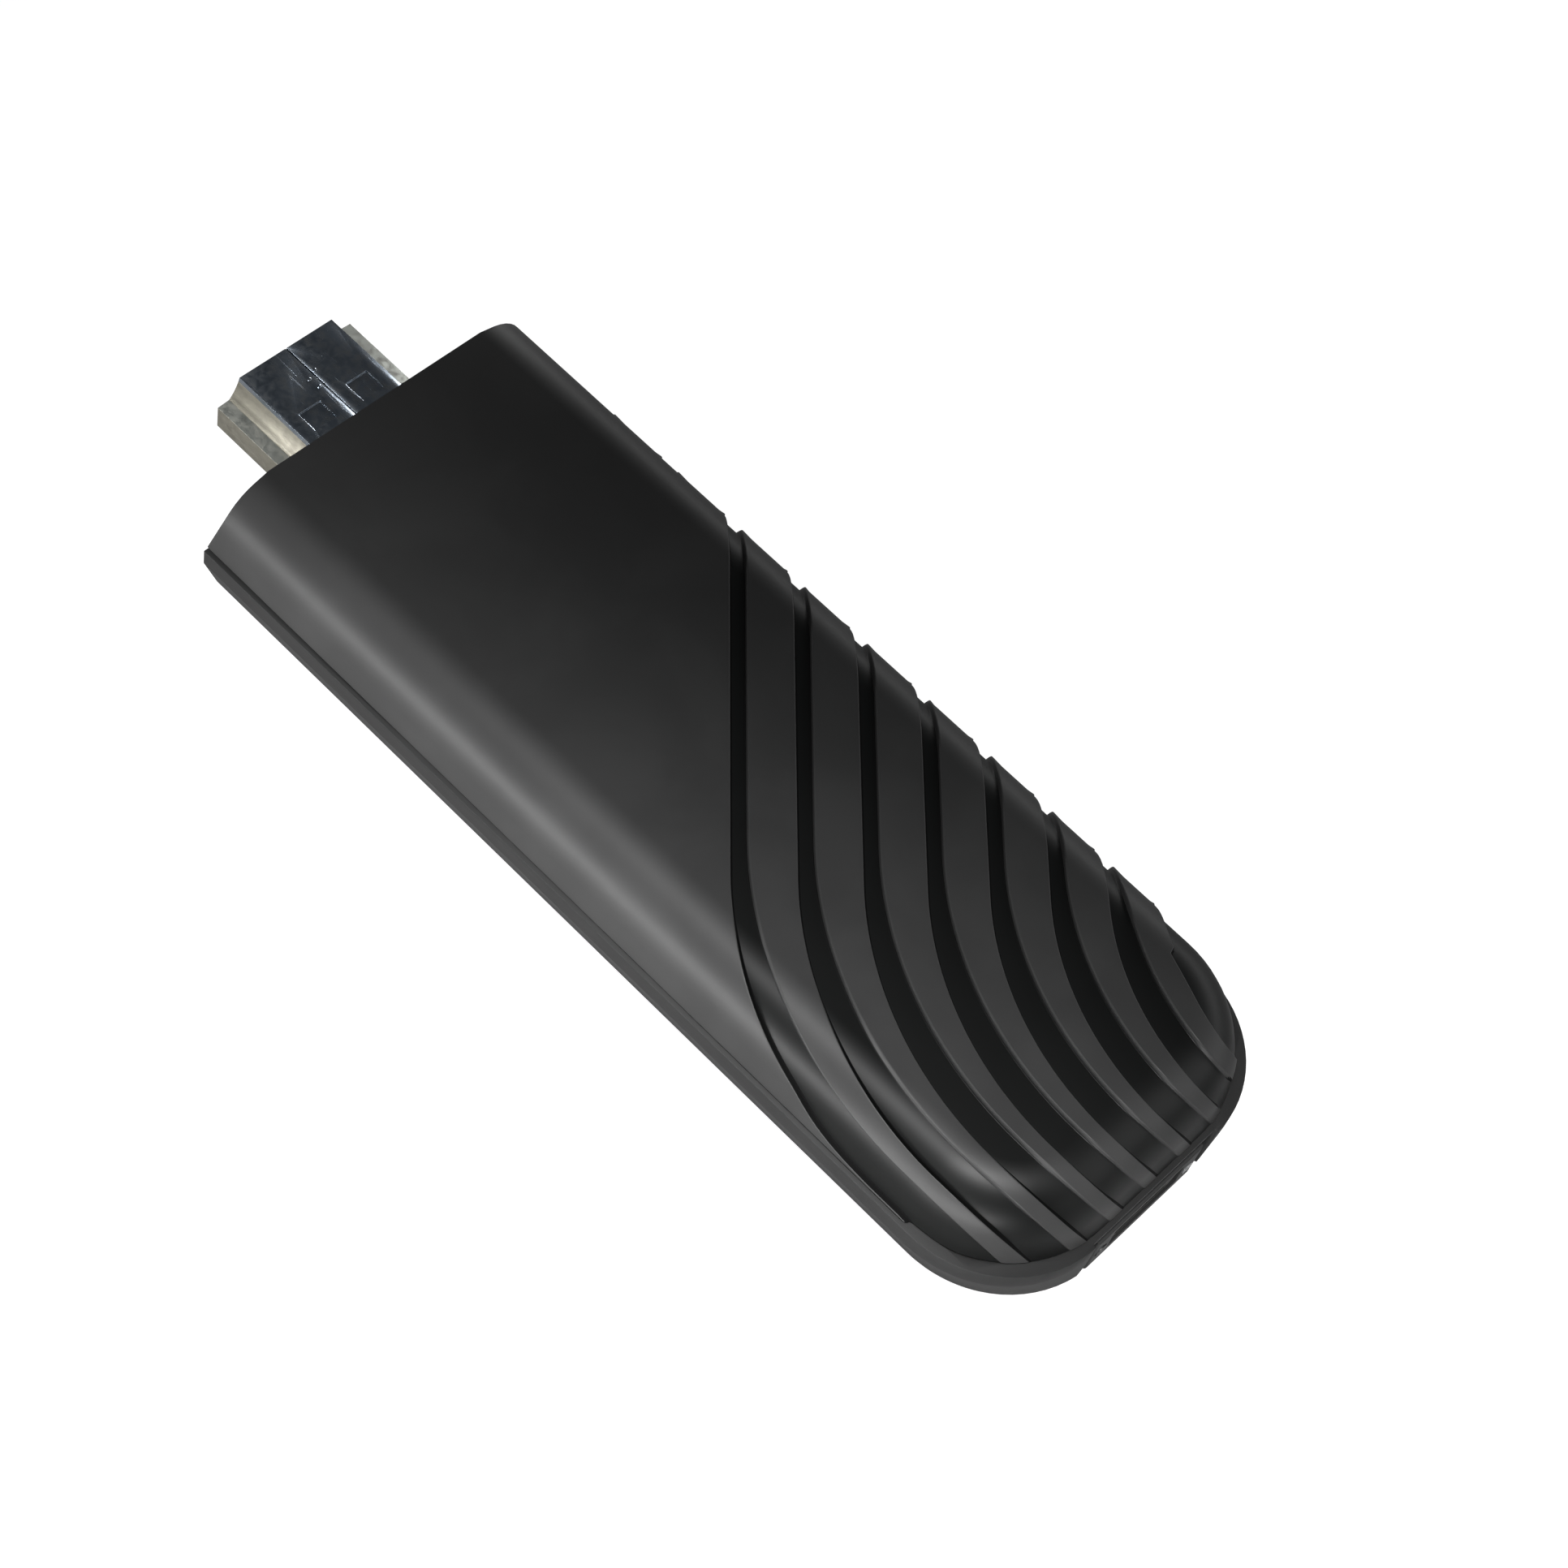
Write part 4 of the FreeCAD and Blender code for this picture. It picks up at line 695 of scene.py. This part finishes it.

# %% [markdown]
# ## Closing the cover
# The skin is a thin sheet so far. Its rim is walked round once. An inner wall follows it one wall
# thickness further in, a roof closes the inside, and the front wall gets the passage that the plug goes
# through. Every surface then has a back, as a moulding has. While the faces are made, each gets its
# material's number: the inside, the ribs, the groove floors, or a near-black strip of painted shade along
# the edge that the light doesn't reach. A Solidify modifier could thicken the skin, but it would fold over
# itself at the tight groove edges.

# %% The skin's faces
inner_face, rib_face, floor_face, painted_shade_face = range(4)
floor_from = 0.75
painted_shade_from, painted_shade_to = 0.1, 0.99
painted_shade_end = -0.15
least_cut = 0.05
cover_form = bmesh.new()
normal_layer = cover_form.verts.layers.float_vector.new("skin_normal")
skin = [cover_form.verts.new(co) for co in skin_verts]
for vert, normal in zip(skin, skin_normals):
    vert[normal_layer] = normal
for triangle in triangles:
    corners = list(triangle)
    middle = skin_points[corners].mean(axis=0)
    if outward(middle[None])[0][0] < skin_reach and middle[0] < front_x:
        face = cover_form.faces.new([skin[corner] for corner in corners])
        share = progress[corners].mean()
        shallowest = cut[corners].min()
        face.material_index = floor_face if share > floor_from and shallowest > 0 else rib_face
        # Painted shade: on edges whose walls face away from the lamps, a strip of faces gets the near-black
        # finish
        shaded = to_floor[corners].sum(axis=0).sum() < 0 and shallowest > least_cut
        if shaded and painted_shade_from < share < painted_shade_to and place[corners].min() > painted_shade_end:
            face.material_index = painted_shade_face
cover_form.verts.ensure_lookup_table()
for vert in [vert for vert in cover_form.verts if not vert.link_faces]:
    cover_form.verts.remove(vert)
print("faces of the skin:", len(cover_form.faces))

# %% Walk round the rim
# A corner is the rim's point furthest forward, and only then furthest to its side
forward_first = 10


def walk(start, links):
    """The loop of vertices along boundary edges, beginning with start."""
    loop = [start]
    while True:
        onward = [vert for vert in links[loop[-1]] if vert not in loop[-2:-1]]
        if len(loop) > 1 and onward[0] is start:
            return loop
        loop.append(onward[0])


links = {}
for edge in cover_form.edges:
    if edge.is_boundary:
        one, other = edge.verts
        links.setdefault(one, []).append(other)
        links.setdefault(other, []).append(one)
left_front = max(links, key=lambda vert: vert.co.x * forward_first + vert.co.y - vert.co.z)
right_front = max(links, key=lambda vert: vert.co.x * forward_first - vert.co.y - vert.co.z)
loop = walk(left_front, links)
turn_at = loop.index(right_front)
chain_one, chain_two = loop[:turn_at + 1], loop[turn_at:] + [left_front]
tail_first = min(vert.co.x for vert in chain_one) < 0
base_chain = chain_one if tail_first else chain_two[::-1]
front_chain = chain_two[::-1] if tail_first else chain_one
print("rim points:", len(base_chain), " front points:", len(front_chain))

# %% Inner wall, roof and passage
front_wall = 1.3
gap = 0.1
tab_drop = 1.1
ledge_height = 2.3
ledge_width = 1.15
passage_top_half = 4.9


def ring(level, inset):
    """Vertices inside the rim at one level, one for each point of the rim."""
    verts = []
    for vert in base_chain:
        plan = np.array([[vert.co.x, vert.co.y]])
        beyond, away = outward(plan)
        x, y = (plan + away * (flat_inset - inset - beyond[0]))[0]
        verts.append(cover_form.verts.new((min(x, front_x - front_wall), y, level)))
    return verts


def strip(one, other):
    """Quads between two rows of vertices."""
    for first in range(len(one) - 1):
        cover_form.faces.new((one[first], one[first + 1], other[first + 1], other[first]))


roof = cover_top - cover_wall
inner_low = ring(cover_base, cover_wall)
inner_high = ring(roof, cover_wall + (roof - cover_base) * math.tan(draft))
strip(base_chain, inner_low)
strip(inner_low, inner_high)
cover_form.faces.new(inner_high)
plug_low, plug_high = (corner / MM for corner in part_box("hdmi_shell"))
plug_half = plug_high.y + gap
ledge = plug_low.z + tab_drop + ledge_height + gap
passage = ((plug_half, cover_base), (plug_half, ledge), (plug_half - ledge_width, ledge + gap),
           (passage_top_half, plug_high.z + gap))
passage += tuple((-y, z) for y, z in passage[::-1])
passage_out, passage_in = ([cover_form.verts.new((x, y, z)) for y, z in passage]
                           for x in (front_x, front_x - front_wall))
strip(passage_out, passage_in)
cover_form.faces.new(front_chain + passage_out[::-1])
cover_form.faces.new((inner_low[0], inner_high[0], inner_high[-1], inner_low[-1], *passage_in[::-1]))
cover_form.faces.new((left_front, inner_low[0], passage_in[0], passage_out[0]))
cover_form.faces.new((right_front, inner_low[-1], passage_in[-1], passage_out[-1]))
print("faces of the closed cover:", len(cover_form.faces))

# %% The cover's mesh
sharp_angle = math.radians(50)


def to_mesh(name, form):
    """A form becomes a mesh of that name."""
    mesh = bpy.data.meshes.new(name)
    form.to_mesh(mesh)
    form.free()
    return mesh


def smooth(mesh):
    """Smooth shading, apart from the edges that turn sharply."""
    mesh.polygons.foreach_set("use_smooth", [True] * len(mesh.polygons))
    mesh.set_sharp_from_angle(angle=sharp_angle)


for vert in cover_form.verts:
    vert.co *= MM
bmesh.ops.triangulate(cover_form, faces=[face for face in cover_form.faces if len(face.verts) > 4])
bmesh.ops.remove_doubles(cover_form, verts=cover_form.verts, dist=1e-7)
bmesh.ops.dissolve_degenerate(cover_form, edges=cover_form.edges, dist=1e-8)
bmesh.ops.recalc_face_normals(cover_form, faces=cover_form.faces)
open_edges = sum(not edge.is_manifold for edge in cover_form.edges)
cover_mesh = to_mesh("cover_skin", cover_form)
for finish in (cover_satin, cover_satin, groove_gloss, painted_groove_shade):
    cover_mesh.materials.append(finish)
smooth(cover_mesh)
formula_normals = [vert.vector.copy() for vert in cover_mesh.attributes["skin_normal"].data]
loop_normals = []
for face in cover_mesh.polygons:
    on_skin = face.material_index > inner_face
    loop_normals.extend(formula_normals[vert] if on_skin else (0, 0, 0) for vert in face.vertices)
cover_mesh.normals_split_custom_set(loop_normals)
cover_mesh.attributes.remove(cover_mesh.attributes["skin_normal"])
cover = add_object("cover_skin", cover_mesh)
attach(cover, "housing")
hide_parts("top_cover")
print("cover triangles:", len(cover_mesh.polygons), " open edges:", open_edges)

# %% [markdown]
# ## Rounded edges
# No moulded or pressed edge is truly sharp. A copy of a node has its doubled corners welded and its flat
# triangles joined into whole faces. A narrow bevel then catches the light along each edge. The tray's
# crease turns by only a few degrees, so its level edges count as sharp from a smaller angle on. The copy
# stands for the node, which stays as it is for the motion side. A bevel in the shader would look the same
# here, but an exported mesh wouldn't have it.

# %% Rounding helper
edge_angle = 28.0
level_rise = 0.05
flat_angle = math.radians(0.6)


def rounded(name, node_name, width, level_angle=edge_angle):
    """A copy of a node, its edges rounded by width millimetres; level edges have their own limit."""
    piece = add_object(name, nodes[node_name].data.copy())
    form = bmesh.new()
    form.from_mesh(piece.data)
    bmesh.ops.remove_doubles(form, verts=form.verts, dist=1e-6)
    bmesh.ops.dissolve_limit(form, angle_limit=flat_angle, verts=form.verts, edges=form.edges,
                             use_dissolve_boundaries=False)
    weight = form.edges.layers.float.new("bevel_weight_edge")
    for edge in form.edges:
        rise = abs(edge.verts[0].co.z - edge.verts[1].co.z) / edge.calc_length()
        limit = math.radians(level_angle if rise < level_rise else edge_angle)
        edge[weight] = float(edge.calc_face_angle(0.0) > limit)
    form.to_mesh(piece.data)
    form.free()
    piece.data.polygons.foreach_set("use_smooth", [True] * len(piece.data.polygons))
    bevel = piece.modifiers.new("edge", "BEVEL")
    bevel.width = width * MM
    bevel.segments = 2
    bevel.limit_method = "WEIGHT"
    bevel.harden_normals = True
    bevel.use_clamp_overlap = True
    bevel.miter_outer = "MITER_ARC"
    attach(piece, "housing")
    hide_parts(node_name)
    return piece


tray = rounded("tray_rounded", "bottom_shell", 0.10, level_angle=5.0)
print("tray faces:", len(tray.data.polygons))

# %% [markdown]
# ## The plug's three finishes, with painted reflection
# The plug's top is a bright mirror with a bluish tint. Its slopes and sides have a warmer tint and are
# duller, and the two level ledges beside the slopes are dullest, with a greyer tint. These tints are
# painted reflection on one plated sheet. Three pieces would do as well, but one folded sheet with three
# finishes is nearer to the real plug. A face's height and direction tell which finish it has.

# %% The plug
top_band = 0.3
points_up = 0.95
top_face, side_face, ledge_face = range(3)
plug = rounded("plug_rounded", "hdmi_shell", 0.06)
plug.data.materials.append(plug_side_painted_reflection)
plug.data.materials.append(plug_ledge_painted_reflection)
# Painted reflection: each face takes the tint of its direction, top, slope or ledge
for face in plug.data.polygons:
    face.material_index = top_face
    if face.center.z < (plug_high.z - top_band) * MM:
        face.material_index = ledge_face if face.normal.z > points_up else side_face
print("plug faces:", len(plug.data.polygons), " top in mm:", round(plug_high.z, 2), round(plug_high.x, 2))

# %% [markdown]
# ## Tack marks on the plug
# The plug's sheet is folded round and its two ends meet on top. Beside that seam sit three tiny round
# marks, left when the ends were tacked together. Bump in the shader could stand for them, but real domes
# catch the light from every side. Each is turned from a few rings, and all three are one piece.

# %% Tack marks
mark_places = ((48.9, 0.6), (49.35, -0.35), (47.9, 0.45))
mark_rings = ((0.20, -0.03), (0.20, 0.01), (0.15, 0.06), (0.07, 0.085))
mark_sides = 14
mark_turns = [2 * math.pi * number / mark_sides for number in range(mark_sides)]
marks_form = bmesh.new()
for x, y in mark_places:
    rings = []
    for radius, height in mark_rings:
        points = [Vector((x + radius * math.cos(turn), y + radius * math.sin(turn), plug_high.z + height))
                  for turn in mark_turns]
        rings.append([marks_form.verts.new(point * MM) for point in points])
    for low_ring, high_ring in zip(rings, rings[1:]):
        for number in range(mark_sides):
            onward = (number + 1) % mark_sides
            marks_form.faces.new((low_ring[number], low_ring[onward], high_ring[onward], high_ring[number]))
    marks_form.faces.new(rings[0][::-1])
    marks_form.faces.new(rings[-1])
marks_mesh = to_mesh("tack_marks", marks_form)
smooth(marks_mesh)
# The marks share the top's finish, with its painted reflection tint
marks_mesh.materials.append(plug_top_painted_reflection)
marks = add_object("tack_marks", marks_mesh)
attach(marks, "housing")
print("tack mark faces:", len(marks_mesh.polygons))

# %% [markdown]
# ## Floor and sky
# A wide sheet of grey paper lies just under the stick and keeps its soft shadow. The camera sees it
# nearly white, because the paper gives off light to camera rays alone, and a tenth of that to reflections
# and to what shows through the light guide. The sky is made the same way: white to the camera, and dim to
# everything else, because the plug's top mirrors something dark in the photograph. A strong lamp would
# whiten the paper too, but it would also light the stick.

# %% Floor
floor_size = 3.0
floor_gap = 0.00002
mirrored_share = 0.10
floor_form = bmesh.new()
bmesh.ops.create_grid(floor_form, x_segments=1, y_segments=1, size=floor_size)
floor_mesh = to_mesh("floor", floor_form)
floor = add_object("floor", floor_mesh)
floor.location.z = cad_low.z - floor_gap
paper = Finish("floor_paper", (0.28, 0.28, 0.28), 0.9, Emission_Strength=1.0)
paper.feed("Base Color", paper.mix(paper.noise(40.0), grey(0.27), grey(0.29)))
seen, mirrored, through = (make(paper.tree, "ShaderNodeLightPath", {}, {}, kind)
                           for kind in ("Is Camera Ray", "Is Glossy Ray", "Is Transmission Ray"))
shown = seen + (mirrored + through) * mirrored_share
paper.feed("Emission Color", paper.mix(shown, grey(0.0), grey(0.95)))
floor_mesh.materials.append(paper.material)
print("floor height in mm:", round(floor.location.z / MM, 3))

# %% Sky
world = bpy.data.worlds.new("studio")
bpy.context.scene.world = world
world.use_nodes = True
sky = world.node_tree
dim = sky.nodes["Background"]
dim.inputs["Color"].default_value = (0.94, 0.97, 1.0, 1.0)
dim.inputs["Strength"].default_value = 0.05
white = make(sky, "ShaderNodeBackground", {}, {"Color": grey(0.97), "Strength": 1.0})
seen_sky = make(sky, "ShaderNodeLightPath", {}, {}, "Is Camera Ray")
both = make(sky, "ShaderNodeMixShader", {}, {0: seen_sky, 1: Wire(sky, dim.outputs[0]), 2: white})
sky.links.new(both.socket, sky.nodes["World Output"].inputs["Surface"])
print("sky nodes:", len(sky.nodes))

# %% [markdown]
# ## Lamps
# Small soft lamps stand for a photographer's strips and cards. A long strip low on the left gives the
# shoulder its highlight, and another lights the far side. A strip and a card behind the tail light the
# ribs and their edges. A narrow pool from above brightens the left shoulder, and a small spot, low at the
# far side, is turned to the plug. One large lamp would be simpler, but it would flatten the shoulder.

# %% Lamps, in metres


def lamp(name, place, target, width, height, power, spread=180):
    """A rectangular soft lamp at place that faces target and shines within spread degrees."""
    data = bpy.data.lights.new(name, "AREA")
    data.shape = "RECTANGLE"
    data.size = width
    data.size_y = height
    data.energy = power
    data.spread = math.radians(spread)
    obj = add_object(name, data)
    obj.location = place
    obj.rotation_euler = (Vector(target) - Vector(place)).to_track_quat("-Z", "Y").to_euler()


lamp("side_strip", (-0.03, 0.12, 0.013), (-0.03, 0, 0.006), width=0.26, height=0.020, power=0.31)
lamp("far_strip", (0.01, -0.14, 0.036), (0.01, 0, 0.004), width=0.34, height=0.03, power=0.065)
lamp("tail_strip", (-0.17, -0.01, 0.04), (-0.04, 0, 0.004), width=0.10, height=0.03, power=0.008)
lamp("tail_card", (-0.41, -0.26, 0.30), (-0.03, 0, 0), width=0.3, height=0.45, power=0.50)
lamp("left_pool", (-0.01, 0.05, 0.12), (0.0, 0.020, 0.006), width=0.40, height=0.02, power=0.052, spread=32)
lamp("plug_spot", (0.10, -0.08, 0.022), (0.064, -0.020, 0.0), width=0.02, height=0.02, power=0.0022,
     spread=40)
bpy.context.scene.view_settings.view_transform = "Standard"
print("lamps:", len(bpy.data.lights))
